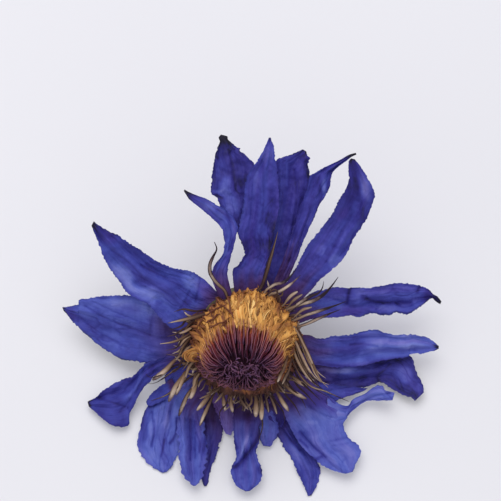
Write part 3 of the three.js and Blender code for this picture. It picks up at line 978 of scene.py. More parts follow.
@dataclass(frozen=True)
class OuterStamens:
    """The ring of outer stamens: a felted golden skirt of their feet, loose fibres, spikes and strays.

    rims and gilding are (degrees, value) pairs round the ring, for how far out the felt ends and how
    golden it is; the gilding is partly the felt's own colour and partly painted light, higher at the
    back where the light falls. splits are paths in the view. flat and drawn are (along, scale)
    profiles of strays.
    """

    fan_count: int = 80
    fibre_count: int = 260
    ribbon_count: int = 120
    swirl_count: int = 26
    swirl_place: tuple[float, float] = (-9.6, -3.4)
    collar_radius: float = 9.4
    climb: float = 6.2
    clear_of_petals: float = 1.05
    nod: float = 0.12
    rims: Outline = (
        (0, 12), (17, 11.8), (36, 11.2), (55, 11.4), (72, 11), (85, 10.6), (98, 10), (112, 9.3),
        (128, 9.2), (142, 10), (155, 11.6), (180, 11.2), (215, 11.4), (250, 12.7), (290, 12.9),
        (320, 12.8), (340, 12.6), (360, 12),
    )
    # Partly painted light: higher at the back, where the light falls on the felt.
    gilding: Outline = (
        (0, 0.56), (20, 0.66), (50, 0.6), (75, 0.74), (95, 0.8), (125, 0.54), (150, 0.48), (180, 0.32),
        (215, 0.2), (250, 0.22), (290, 0.22), (320, 0.3), (340, 0.4), (360, 0.46),
    )
    splits: tuple[Outline, ...] = (
        ((-3.4, 9.6), (-2.8, 8.2), (-2.6, 6.8), (-2.3, 5.8), (-1.8, 4.8)),
        ((-5.2, 7.8), (-4.2, 7.4), (-3.4, 6.8), (-2.8, 6.2), (-2.4, 5.6)),
        ((-7.2, 2.6), (-6.2, 3.2), (-5.0, 3.8), (-3.8, 4.2), (-2.5, 5.2)),
        ((-4.4, 3.2), (-4.0, 3.6), (-3.6, 3.8), (-3.2, 4.2), (-2.8, 4.4)),
        ((-9.8, 2.4), (-8.6, 4.4), (-7.0, 5.8), (-5.4, 6.8), (-3.6, 7.6)),
        ((-8.0, 3.4), (-7.2, 4.2), (-6.2, 4.6), (-5.4, 5.4), (-4.6, 5.8)),
    )
    flat: Outline = ((0, 0.6), (0.35, 0.55), (0.55, 0.9), (0.72, 1.2), (0.86, 1.1), (0.95, 0.85), (1, 0.4))
    drawn: Outline = ((0, 0.9), (0.3, 0.9), (0.5, 1.05), (0.7, 0.85), (0.82, 0.5), (1, 0.16))
    seed: int = 5

    @staticmethod
    def round_the_ring(table: Outline, angle: Array) -> Array:
        """A value read off a table of (degrees, value) pairs: 0 is at the right and 90 at the back."""
        degrees, values = np.array(table).T
        return np.interp(np.degrees(angle) % 360.0, degrees, values)

    @staticmethod
    def rim_fall(angle: Array, down: Array) -> Array:
        """How much less golden the feet are towards the rim, most of all at the left."""
        share = 0.6 + 0.4 * np.maximum(0.0, -np.cos(angle)) - 0.25 * np.maximum(0.0, np.cos(angle))
        return share * np.minimum(down, 1.0) ** 4

    @staticmethod
    def petal_tops(x: Array, y: Array) -> Array:
        """How far towards the viewer the top layer of petals lies."""
        return BLOOM.dish_depth(x, y) + 2.0 * BLOOM.layer_pitch

    def over_petals(self, x: Array, y: Array, over_ring: Array, over_petal: Array) -> Array:
        """Points on the ring's plane, or clear of the top petals where those are higher."""
        petals = self.petal_tops(x, y) + self.clear_of_petals
        return BLOOM.from_view(x, y, np.maximum(y * BLOOM.tilt + over_ring, petals + over_petal))

    def skirt(self, angle: Array, down: Array, over: Array) -> Array:
        """Points on the skirt of felted feet, kept clear of the petals.

        Each profile is (1 - t)^2 top + 2 t (1 - t) bend + t^2 rim, from high on the dome's flank
        behind, and low on it in front, to the rim.

        Args:
            angle: Turn round the axis.
            down: The share t of the way down and out.
            over: Distance off the skirt, outwards.

        Returns:
            The points in the part's frame.
        """
        rough = drift(7.0 * np.cos(angle), 7.0 * np.sin(angle), self.seed + 20)
        top = 1.6 + self.climb * smoothstep(-0.75, 0.1, np.sin(angle)) + 0.9 * rough
        ragged = drift(16.0 * np.cos(angle), 16.0 * np.sin(angle), self.seed + 26)
        rim = self.round_the_ring(self.rims, angle) + 0.6 * rough + 0.35 * ragged
        first, second, third = (1.0 - down) ** 2, 2.0 * down * (1.0 - down), down**2
        radius = first * 7.1 + second * 10.4 + third * rim + over
        height = first * top + second * 2.2 + third * (1.2 * front_share(angle) - 1.0) + 0.5 * over
        points = BLOOM.from_axis(radius, angle, height, self.nod) - BLOOM.hub
        x, y, depth = points @ BLOOM.across, points @ BLOOM.up, points @ BLOOM.towards
        return BLOOM.from_view(x, y, np.maximum(depth, self.petal_tops(x, y) + 0.5 + 0.4 * over))

    def mat(self) -> Piece:
        """The felted skirt itself: flakes and fibres on top, back to the start underneath.

        Returns:
            The new object.
        """
        upper, under, columns = 26, 8, 760
        total = upper + under
        angle = turns(columns)
        down = np.concatenate([even(upper), np.linspace(1.0, 0.0, under)])[:, None]
        reach = 7.0 * down
        cosine, sine = 9.0 * np.cos(angle), 9.0 * np.sin(angle)
        wander = 1.6 * drift(cosine / 4.0, sine / 4.0 + reach / 4.0, self.seed + 21)
        flake_x, flake_y = (1.6 * cosine + wander) / 2.4, (1.6 * sine + 0.7 * reach) / 2.4
        flakes = np.abs(drift(flake_x, flake_y, self.seed + 22))
        fibres = drift(2.6 * cosine + 2.0 * wander, 2.6 * sine + reach / 6.0, self.seed + 23, waves=11)
        top_side = (np.arange(total) < upper)[:, None]
        ends = smoothstep(0.0, 0.15, down)
        over = np.where(top_side, 0.9 * np.minimum(flakes, 0.8) * ends + 0.11 * fibres, -0.6)
        # Painted shade: the felt darkens in the low places between its flakes at the left back, in a broad
        # noise of shaded dips that has no relief of its own, and on its underside; that noise also makes it
        # less golden.
        crack_shade = bell(flakes, 0.0, 0.12) * smoothstep(0.0, 0.9, np.sin(angle) - np.cos(angle))
        valley_shade = drift(cosine / 1.7, sine / 1.7 + reach / 2.0, self.seed + 27)
        shade = np.where(top_side, 0.7 * crack_shade + 0.2 * fibres + 0.2 * valley_shade, 0.6)
        stage = self.round_the_ring(self.gilding, angle) - self.rim_fall(angle, down)
        stage = stage + 0.16 * drift(cosine / 3.0, sine / 3.0 + reach / 3.0, self.seed + 24) - 0.1 * valley_shade
        values = {
            "lane": 9.0 * angle + 0.4 * wander + 0 * down,
            "reach": reach + 0 * angle,
            "stage": np.clip(stage, 0.0, 1.0),
            "shade": np.clip(shade, 0.0, 0.9),
        }
        faces = sheet_faces(total + 1, columns, wrap=True) % (total * columns)
        points = self.skirt(angle + 0 * down, down + 0 * angle, over)
        return make_mesh("stamen_felt", points, [faces[:, ::-1]], values)

    def fibres(self) -> Piece:
        """Thin fibres and wider ribbons that lie on the skirt, some of them past its rim.

        Returns:
            The new object.
        """
        rng = np.random.default_rng(self.seed)
        count = self.fibre_count + self.ribbon_count
        column = (count, 1)
        ribbon = (np.arange(count) >= self.fibre_count)[:, None]
        behind = rng.normal(0.5 * math.pi, 1.1, column)
        angle = np.where(ribbon, behind, rng.uniform(-0.35 * math.pi, 1.3 * math.pi, column))
        s = even(9)[None, :]
        arch = np.sin(math.pi * s)
        start = rng.uniform(-0.02, 0.55, column)
        down = start + rng.uniform(0.25, 0.75, column) * s
        swing = rng.normal(0.0, 0.16, column) * s + rng.normal(0.0, 0.09, column) * arch
        over = 0.2 + rng.uniform(0.1, 0.45, column) * arch + 0.06 * rng.standard_normal((count, 9))
        broad = rng.uniform(0.2, 0.48, column)
        width = np.where(ribbon, broad, rng.uniform(0.07, 0.16, column))[:, 0]
        stage = self.round_the_ring(self.gilding, angle[:, 0]) + rng.normal(0.02, 0.15, count)
        return Bundle(
            "stamen_fibres", self.skirt(angle + swing, down, over),
            width, np.where(ribbon[:, 0], 0.22, 0.7) * width, rng.uniform(-1.6, 1.6, count),
            np.clip(rng.normal(0.06, 0.22, count), 0.0, 0.8),
            ((0, 0.5), (0.2, 1), (0.8, 0.8), (1, 0.25)), BLOOM.axis,
            last_stage=np.clip(stage - self.rim_fall(angle[:, 0], down[:, -1]), 0.0, 1.0),
            first_stage=np.clip(stage, 0.0, 1.0), shaded_sides=0.25, steps=10, sides=5,
        ).build()

    def on_felt(self, x: Array, y: Array, over: float) -> Array:
        """Points over the felt at places in the view: the nearest ones of a fine grid on the skirt.

        Args:
            x: Across, from the hub.
            y: Up the view, from the hub.
            over: Distance off the skirt, outwards.

        Returns:
            The points in the part's frame.
        """
        angle, down = np.meshgrid(np.linspace(0.0, math.pi, 361), even(61))
        grid = self.skirt(angle.ravel(), down.ravel(), over)
        seen = (grid - BLOOM.hub) @ np.stack([BLOOM.across, BLOOM.up], axis=-1)
        places = np.stack([x, y], axis=-1)
        return grid[np.linalg.norm(places[..., None, :] - seen, axis=-1).argmin(axis=-1)]

    def crack_shade(self) -> Piece:
        """Dark lines, painted shade in the splits of the felt at the left back, each along its own path.

        Returns:
            The new object.
        """
        paths = smooth_curves(np.array(self.splits), even(12))
        count = len(paths)
        rng = np.random.default_rng(self.seed + 4)
        return Bundle(
            "stamen_crack_shade", self.on_felt(paths[..., 0], paths[..., 1], 0.75),
            rng.uniform(0.18, 0.28, count), rng.uniform(0.08, 0.13, count),
            rng.uniform(-0.3, 0.3, count), rng.uniform(0.45, 0.7, count),
            ((0, 0.3), (0.25, 1), (0.5, 0.6), (0.75, 1), (1, 0.25)), BLOOM.towards,
            last_stage=0.2, first_stage=0.3, steps=20,
        ).build()

    def swirl(self) -> Piece:
        """Feet at the left that curled up on themselves: arcs of an ellipse round one place.

        Returns:
            The new object.
        """
        rng = np.random.default_rng(self.seed + 3)
        count = self.swirl_count
        column = (count, 1)
        s = even(9)[None, :]
        size = rng.uniform(0.8, 2.6, column)
        turn = rng.uniform(-0.9, 2.2, column) + rng.uniform(1.8, 3.4, column) * s
        x = self.swirl_place[0] + rng.normal(0.0, 0.25, column) + size * np.cos(turn)
        y = self.swirl_place[1] + rng.normal(0.0, 0.25, column) + 0.6 * size * np.sin(turn)
        width = rng.uniform(0.14, 0.34, count)
        stage = rng.uniform(0.4, 0.9, count)
        over_ring = 4.3 + 0.25 * (3.0 - size) + 0.3 * np.sin(math.pi * s)
        return Bundle(
            "stamen_swirl", self.over_petals(x, y, over_ring, 1.0 + 0 * s),
            width, 0.6 * width, rng.uniform(-0.8, 0.8, count),
            np.clip(0.5 - 0.2 * size[:, 0] + rng.uniform(0.0, 0.3, count), 0.0, 0.8),
            ((0, 0.6), (0.3, 1), (0.8, 0.9), (1, 0.3)), BLOOM.towards,
            last_stage=0.8 * stage, first_stage=stage, steps=14,
        ).build()

    def fan(self) -> Piece:
        """Short stamens behind the ones that stand out, most of them in front.

        Returns:
            The new object.
        """
        rng = np.random.default_rng(self.seed + 1)
        count = self.fan_count
        column = (count, 1)
        spread = (np.arange(count) + rng.uniform(0.1, 0.9, count)) / count
        degrees = np.interp(spread, [0.0, 0.84, 0.91, 1.0], [-205.0, -15.0, 10.0, 60.0])
        angle = np.radians(degrees)[:, None]
        reach = rng.uniform(1.6, 3.6, column) + 2.6 * front_share(angle) * rng.uniform(0.3, 1.0, column)
        s = even(6)[None, :]
        radius = self.collar_radius + (reach + 1.0) * s
        turn = angle + rng.uniform(-0.25, 0.25, column) * s**2
        turn = turn + 0.02 * rng.standard_normal((count, 6)) * s
        rise = 0.2 + reach * rng.uniform(0.02, 0.3, column) * np.sin(2.4 * s)
        width = rng.uniform(0.16, 0.3, count)
        left = np.maximum(0.0, -np.cos(angle[:, 0]))
        return Bundle(
            "outer_stamen_fan", self.over_petals(radius * np.cos(turn), radius * np.sin(turn), rise, 0.3 * s),
            width, 0.5 * width, rng.uniform(-0.8, 0.8, count),
            np.clip(rng.normal(0.58, 0.2, count) - 0.5 * left, 0.0, 0.9),
            ((0, 1), (0.35, 0.8), (0.55, 1.1), (0.86, 0.85), (1, 0.3)), BLOOM.towards,
            last_stage=rng.uniform(0.5, 1.0, count), shaded_sides=0.3, steps=16,
        ).build()

    def stray_bundle(self, name: str, strays: tuple[Stray, ...], profile: Outline) -> Piece:
        """The stamens that stand out, each along its own path from the collar.

        Args:
            name: Name of the piece.
            strays: The stamens.
            profile: Their breadth from foot to tip.

        Returns:
            The new object.
        """
        s = even(9)
        paths = []
        for stray in strays:
            way = smooth_curve(stray.path, even(8))
            start = way[0] * self.collar_radius / np.linalg.norm(way[0])
            x, y = np.concatenate([start[None], way]).T
            over_ring = 0.3 + stray.over_ring * np.sin(math.pi * s)
            paths.append(self.over_petals(x, y, over_ring, stray.rise * s**1.3))
        rows = [(stray.half_width, stray.shade, stray.last_stage, stray.first_stage) for stray in strays]
        width, shade, last_stage, first_stage = np.array(rows).T
        count = len(strays)
        rng = np.random.default_rng(self.seed + 2)
        return Bundle(
            name, np.stack(paths), width, 0.5 * width, rng.uniform(-0.9, 0.9, count),
            shade + rng.normal(0.08, 0.08, count), profile, BLOOM.towards,
            last_stage=last_stage, first_stage=first_stage, shaded_sides=0.9, steps=28, sides=12,
        ).build()


@dataclass(frozen=True)
class InnerStamens:
    """The dome of inner stamens: a dark core, strands combed over it and thin filaments on them.

    core_profile is its core's (radius, height) pairs, from the top of the hollow down the flank and
    in again. nod is how far the dome leans forward, as a share of its height.
    """

    base: float = 7.7
    belly: float = 9.0
    height: float = 10.5
    nod: float = math.sin(math.radians(10.0))
    tip_spread: float = 3.6
    tip_place: float = -1.2
    front_slump: float = 0.13
    outer_count: int = 76
    inner_count: int = 84
    filament_count: int = 120
    fringe_count: int = 110
    tip_count: int = 90
    core_profile: Outline = (
        (0.05, 7.4), (1, 7.5), (2.2, 7.8), (3.4, 8.1), (4.6, 8), (6, 7.2), (7, 6.2), (7.6, 5), (7.9, 3.6),
        (7.7, 2), (7.4, 0.6), (7.3, -0.9), (0.05, -1),
    )
    seed: int = 9

    def core(self) -> Piece:
        """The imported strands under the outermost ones, ribbed all round.

        Returns:
            The new object.
        """
        line = np.array(self.core_profile)
        angle = turns(240)
        radius = line[:, :1] + 0.16 * np.sin(60.0 * angle) * smoothstep(1.0, 4.0, line[:, :1])
        height = line[:, 1:] + 0 * angle
        ones = np.ones(radius.shape)
        # Painted shade: the core is set near the darkest colour, for the shade in the gaps between the
        # strands over it.
        values = {"stage": 0.95 * ones, "shade": 0.75 * ones, "lane": angle * 9.0 * ones, "reach": height}
        points = BLOOM.from_axis(radius, angle, height, self.nod)
        return make_mesh("inner_stamen_core", points, barrel_faces(*radius.shape), values)

    def combed(self, angle: Array, s: Array, inset: Array, short: Array, rng: np.random.Generator) -> Array:
        """Paths up the dome's flank and over its top, all combed to an oblong place near its front.

        In plan a path goes from its own turn round the axis to its tip by a share w(s):
        (1 - w) r(s) (cos, sin) + w tip. Tips spread sideways more than they do front to back.

        Args:
            angle: Each strand's turn at its foot, as a column.
            s: Places along the strands, as a row.
            inset: How far each lies inside the outermost strands.
            short: How far each stays under the full height.
            rng: Source of the small bends.

        Returns:
            The paths as (strands, places, 3).
        """
        count = len(angle)
        column = (count, 1)
        knots = [0.0, 0.2, 0.4, 0.6, 0.8, 1.0]
        flank = [self.base, self.belly - 0.5] + 4 * [self.belly]
        front = smoothstep(-0.1, 0.9, -np.sin(angle))
        climbed = np.minimum(1.0, 3.0 * s)
        radius = np.interp(s, knots, flank) * (1.0 - self.front_slump * front * climbed) - inset * climbed
        short = short + self.height * 0.6 * self.front_slump * front
        turn = angle + (0.012 + 0.02 * front) * rng.standard_normal((count, s.shape[1]))
        turn = turn + 0.22 * front * rng.standard_normal(column) * s
        loose = 0.5 + 0.9 * front
        tip_x = self.tip_spread * np.cos(angle) + loose * rng.normal(0.0, 1.0, column)
        tip_back = self.tip_place + 0.8 * np.sin(angle) + loose * rng.normal(0.0, 1.0, column)
        w = np.interp(s, knots, [0.0, 0.0, 0.0, 0.16, 0.43, 1.0])
        across = (1.0 - w) * radius * np.cos(turn) + w * tip_x
        back = (1.0 - w) * radius * np.sin(turn) + w * tip_back
        rise = np.interp(s, knots, [0.0, 0.23, 0.46, 0.74, 0.93, 0.88])
        height = (self.height - short) * rise + rng.normal(0.0, 0.4, column) * s**4
        return BLOOM.from_plan(across, back, height, self.nod)

    def strands(self) -> Piece:
        """Two layers of flat strands, the outer one wide and spaced like the teeth of a comb.

        Returns:
            The new object.
        """
        rng = np.random.default_rng(self.seed)
        count = self.outer_count + self.inner_count
        column = (count, 1)
        order = np.arange(count)[:, None]
        inner = order >= self.outer_count
        angle = FULL_TURN * (order + 0.5) / np.where(inner, self.inner_count, self.outer_count)
        angle = angle + rng.uniform(-0.025, 0.025, column)
        inset = np.where(inner, 0.6, 0.0) + rng.uniform(0.0, 0.35, column)
        short = np.where(inner, 0.5, 0.0) + rng.uniform(0.0, 0.7, column)
        front = smoothstep(-0.2, 0.9, -np.sin(angle[:, 0]))
        ends = rng.uniform(0.86, 1.0, column) - rng.uniform(0.0, 0.2, column) * front[:, None]
        s = np.linspace(0.0, ends, 13, axis=-1)[:, 0]
        narrow = rng.uniform(0.22, 0.34, count)
        width = np.where(inner[:, 0], narrow, rng.uniform(0.28, 0.4, count))
        # Painted shade: the inner layer, seen in the gaps under the outer strands, and the dome's front,
        # which faces away from the lamp, are set darker.
        shade = 0.02 + 0.4 * inner[:, 0] + 0.13 * rng.standard_normal(count) + 0.42 * front
        golden = 0.2 * np.maximum(0.0, np.cos(angle[:, 0] - math.radians(140.0))) ** 2
        return Bundle(
            "inner_stamen_strands", self.combed(angle, s, inset, short, rng),
            width, width * 0.6, rng.uniform(-0.5, 0.5, count), np.clip(shade, 0.0, 0.85),
            ((0, 1.5), (0.4, 1.2), (0.7, 0.85), (0.9, 0.6), (1, 0.25)), BLOOM.axis,
            first_stage=0.5 * front - golden + rng.normal(0.0, 0.03, count), shaded_sides=0.4, steps=20,
        ).build()

    def filaments(self) -> Piece:
        """Thin pale filaments on the strands, their ends free.

        Returns:
            The new object.
        """
        rng = np.random.default_rng(self.seed + 1)
        count = self.filament_count
        column = (count, 1)
        angle = FULL_TURN * (np.arange(count)[:, None] + rng.uniform(-0.4, 0.4, column)) / count
        first = rng.uniform(0.3, 0.55, column)
        last = rng.uniform(0.8, 1.0, column)
        s = first + (last - first) * even(10)[None, :]
        lift = -0.3 - 0.35 * smoothstep(0.8, 1.0, s)
        width = rng.uniform(0.07, 0.13, count)
        front = front_share(angle[:, 0])
        return Bundle(
            "inner_stamen_filaments", self.combed(angle, s, lift, -0.25 + 0 * angle, rng),
            width, width, rng.uniform(-0.6, 0.6, count),
            # Painted shade: filaments on the dome's front are set darker.
            np.clip(rng.normal(0.12, 0.2, count) + 0.4 * front, 0.0, 0.85),
            ((0, 0.4), (0.2, 1), (0.85, 0.9), (1, 0.4)), BLOOM.axis,
            last_stage=0.98, first_stage=first[:, 0] - 0.1 + 0.3 * front, steps=14, sides=4,
        ).build()

    def fringe(self) -> Piece:
        """Thin strands round the front and sides of the dome whose free ends lie out over the ring.

        Returns:
            The new object.
        """
        rng = np.random.default_rng(self.seed + 3)
        count = self.fringe_count
        column = (count, 1)
        angle = np.radians(rng.uniform(-182.0, -42.0, column))
        s = even(8)[None, :]
        turn = angle + rng.normal(0.0, 0.16, column) * s + 0.015 * rng.standard_normal((count, 8))
        outward = 2.0 + 1.9 * np.abs(np.cos(angle)) * rng.uniform(0.3, 1.0, column)
        radius = 7.4 + outward * np.sin(0.5 * math.pi * s)
        first = rng.uniform(3.4, 6.4, column)
        height = first + (rng.uniform(1.8, 3.0, column) - first) * s**1.6
        height = height + 0.12 * rng.standard_normal((count, 8))
        width = rng.uniform(0.1, 0.22, count)
        return Bundle(
            "inner_stamen_fringe", BLOOM.from_axis(radius, turn, height, self.nod),
            width, 0.7 * width, rng.uniform(-1.2, 1.2, count),
            np.clip(rng.normal(0.3, 0.3, count), 0.0, 0.9),
            ((0, 0.8), (0.3, 1), (0.8, 0.8), (1, 0.3)), BLOOM.axis,
            last_stage=rng.uniform(0.5, 0.9, count), first_stage=0.9, steps=10, sides=5,
        ).build()

    def tips(self) -> Piece:
        """Short curled ends in the hollow where the strands meet.

        Returns:
            The new object.
        """
        rng = np.random.default_rng(self.seed + 2)
        count = self.tip_count
        column = (count, 1)
        s = even(7)[None, :]
        turn = rng.uniform(0.0, FULL_TURN, column) + rng.uniform(-2.2, 2.2, column) * s
        middle_x = rng.normal(0.2, 2.2, column)
        middle_back = self.tip_place + rng.normal(-0.2, 0.9, column)
        size = rng.uniform(0.5, 1.6, column) * (0.4 + 0.6 * s)
        across, back = middle_x + size * np.cos(turn), middle_back + size * np.sin(turn)
        height = self.height - rng.uniform(0.2, 1.5, column) + rng.uniform(-0.2, 0.6, column) * s
        width = rng.uniform(0.09, 0.2, count)
        return Bundle(
            "inner_stamen_tips", BLOOM.from_plan(across, back, height, self.nod),
            width, 0.8 * width, rng.uniform(-1.0, 1.0, count),
            np.clip(rng.normal(0.3, 0.3, count), 0.0, 0.9),
            ((0, 0.7), (0.4, 1), (0.8, 0.8), (1, 0.3)), BLOOM.axis,
            last_stage=rng.uniform(0.9, 1.0, count), first_stage=0.92, steps=10, sides=5,
        ).build()


@dataclass(frozen=True)
class Receptacle:
    """The ovary under the stamens and the stalk, cut flat where it stands on the table.

    shoulder is the ovary's (radius, height) pairs, from its top down to the stalk.
    """

    shoulder: Outline = (
        (0.05, -1.4), (5, -1.4), (8.6, -1.45), (9.3, -1.9), (9.55, -3.2), (9.7, -5.2), (9.3, -7.4),
        (8.3, -9.3), (6.6, -10.7), (5.2, -11.6), (4.3, -12.8), (3.8, -14.2),
    )
    stalk_radius: float = 3.55
    canals: int = 5
    canal_radius: float = 0.65
    canal_circle: float = 1.9
    canal_depth: float = 2.3
    columns: int = 180
    seed: int = 3

    def body(self) -> tuple[Array, Array]:
        """Rows down the ovary and stalk, with ribs, wrinkles and the sloping cut.

        The cut is where the stalk's side line meets the table: height = -(hub height + r sin(angle)
        sin(lean)) / cos(lean).

        Returns:
            Radius and height over the stamen ring, as grids.
        """
        angle = turns(self.columns)
        line = smooth_curve(self.shoulder, even(60))
        radius, height = line[:, :1] + 0 * angle, line[:, 1:] + 0 * angle
        slope = self.stalk_radius * np.sin(angle) * math.sin(BLOOM.lean)
        cut = -(BLOOM.hub_height + slope) / math.cos(BLOOM.lean)
        down = even(26)[1:, None]
        stalk_height = height[-1:] + (cut - height[-1:]) * down
        swell = 1.0 - smoothstep(0.0, 0.4, down)
        stalk_radius = self.stalk_radius + (radius[-1:] - self.stalk_radius) * swell
        ribs = 0.16 * np.abs(np.sin(7.0 * angle + 0.4)) + 0.1 * np.sin(17.0 * angle + 0.1 * stalk_height)
        ribs = ribs * smoothstep(0.0, 0.3, down) * (1.0 - 0.5 * smoothstep(0.9, 1.0, down))
        wrinkles = 0.14 * drift(7.0 * angle / 2.0, height / 3.0, self.seed) * smoothstep(-1.5, -3.0, height)
        radius = np.concatenate([radius - np.abs(wrinkles), stalk_radius - ribs])
        return radius, np.concatenate([height, stalk_height])

    def build(self) -> Piece:
        """Makes the skin, then the cut face with its air canals sunk into the stalk.

        Returns:
            The new object.
        """
        radius, height = self.body()
        angle = turns(self.columns)
        skin = BLOOM.from_axis(radius, angle, height)
        skin[-1, :, 2] = 0.0
        inward = np.linspace(0.0, 0.985, 34)[1:, None, None]
        cut = skin[-1][None] * (1.0 - inward)
        spots = FULL_TURN * np.arange(self.canals) / self.canals
        centres = self.canal_circle * np.stack([np.cos(spots), np.sin(spots)], axis=-1)
        away = np.linalg.norm(cut[:, :, None, :2] - centres, axis=-1).min(axis=-1)
        sunk = 1.0 - smoothstep(self.canal_radius - 0.2, self.canal_radius + 0.05, away)
        cut[..., 2] = self.canal_depth * sunk
        flat = np.concatenate([np.zeros(radius.shape), np.ones(sunk.shape)])
        # Painted shade: the sunk air canals are set darker.
        hollow = np.concatenate([np.zeros(radius.shape), sunk])
        # Darker near the top of the ovary, just under the stamen ring.
        under_ring = np.concatenate([smoothstep(-3.6, -1.7, height), np.zeros(sunk.shape)])
        values = {
            "lane": 5.0 * angle * np.ones(flat.shape),
            "reach": np.concatenate([height, np.linalg.norm(cut, axis=-1)]),
            "cut": flat,
            "tone": 0.5 + 0.12 * flat - 0.7 * hollow - 0.6 * under_ring,
        }
        return make_mesh("receptacle_skin", np.concatenate([skin, cut]), barrel_faces(*flat.shape), values)


@dataclass(frozen=True)
class Studio:
    """The pale floor, the soft light and the camera at the photograph's angle."""

    distance: float = 420.0
    sensor_width: float = 36.0
    focal_pixels: float = 1995.0
    picture_width: float = 501.0
    hub_pixel: tuple[float, float] = (243.0, 340.0)
    pixels_per_mm: float = 4.75
    lamp_power: float = 3.0
    lamp_size: float = 0.7
    lamp_place: tuple[float, float, float] = (-0.1, 0.3, 0.68)
    sky: float = 0.72
    floor_half: float = 900.0

    def camera(self) -> None:
        """Aims the camera down the line of sight, so that the hub falls on its own pixel."""
        middle = self.picture_width / 2.0
        right = (middle - self.hub_pixel[0]) / self.pixels_per_mm
        above = (self.hub_pixel[1] - middle) / self.pixels_per_mm
        eye = BLOOM.hub + right * BLOOM.across + above * BLOOM.up + self.distance * BLOOM.towards
        lens = bpy.data.cameras.new("camera")
        lens.sensor_width = self.sensor_width
        lens.lens = self.sensor_width * self.focal_pixels / self.picture_width
        lens.clip_start = 0.01
        made = bpy.data.objects.new("camera", lens)
        turn = Matrix([BLOOM.across, BLOOM.up, BLOOM.towards]).transposed().to_4x4()
        made.matrix_world = Matrix.Translation(eye * MM) @ turn
        bpy.context.scene.collection.objects.link(made)
        bpy.context.scene.camera = made

    def light(self) -> None:
        """A wide soft lamp above and behind the bloom, and an even pale sky."""
        lamp = bpy.data.lights.new("soft_lamp", "AREA")
        lamp.shape, lamp.size, lamp.energy = "DISK", self.lamp_size, self.lamp_power
        made = bpy.data.objects.new("soft_lamp", lamp)
        aim = Matrix(unit(np.array([[1.0, 0.0, 0.0], [0.0, 0.75, -0.35], [0.0, 0.35, 0.75]])))
        made.matrix_world = Matrix.Translation(self.lamp_place) @ aim.transposed().to_4x4()
        bpy.context.scene.collection.objects.link(made)
        world = bpy.data.worlds.new("sky")
        world.use_nodes = True
        graph = Graph(world.node_tree)
        sky = graph.add("ShaderNodeBackground", {"Color": (0.93, 0.94, 1.0, 1.0), "Strength": self.sky})
        graph.add("ShaderNodeOutputWorld", {"Surface": sky.outputs[0]})
        bpy.context.scene.world = world
        bpy.context.scene.view_settings.view_transform = "Standard"

    def floor(self) -> None:
        """A plain pale sheet under the bloom, lit a little from below so that shadows stay light."""
        corners = self.floor_half * np.array([[-1, -1, 0], [1, -1, 0], [1, 1, 0], [-1, 1, 0]])
        made = make_mesh("floor", corners, [np.array([[0, 1, 2, 3]])], {})
        material = bpy.data.materials.new("floor_paper")
        material.use_nodes = True
        graph = Graph(material.node_tree)
        cloud = graph.noise(graph.own_place(), 4.0, 1.0)
        shader = graph.add("ShaderNodeBsdfPrincipled", {
            "Base Color": graph.ramp(cloud, stops((0.3, 206, 205, 209), (0.7, 214, 213, 216))),
            "Roughness": 0.6,
            "Emission Color": screen(236, 234, 236),
            "Emission Strength": 0.15,
        })
        graph.add("ShaderNodeOutputMaterial", {"Surface": shader.outputs[0]})
        made.data.materials.append(material)


def dress(piece: Piece, material: bpy.types.Material, node: str | None = None) -> None:
    """Gives a piece its finish and its place on the part, and reports it.

    Args:
        piece: The finished mesh.
        material: Its finish.
        node: The solid that it stands for, or None.
    """
    piece.data.materials.append(material)
    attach(piece, "root")
    if node is not None:
        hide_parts(node)
    log.info("%s: %d faces", piece.name, len(piece.data.polygons))


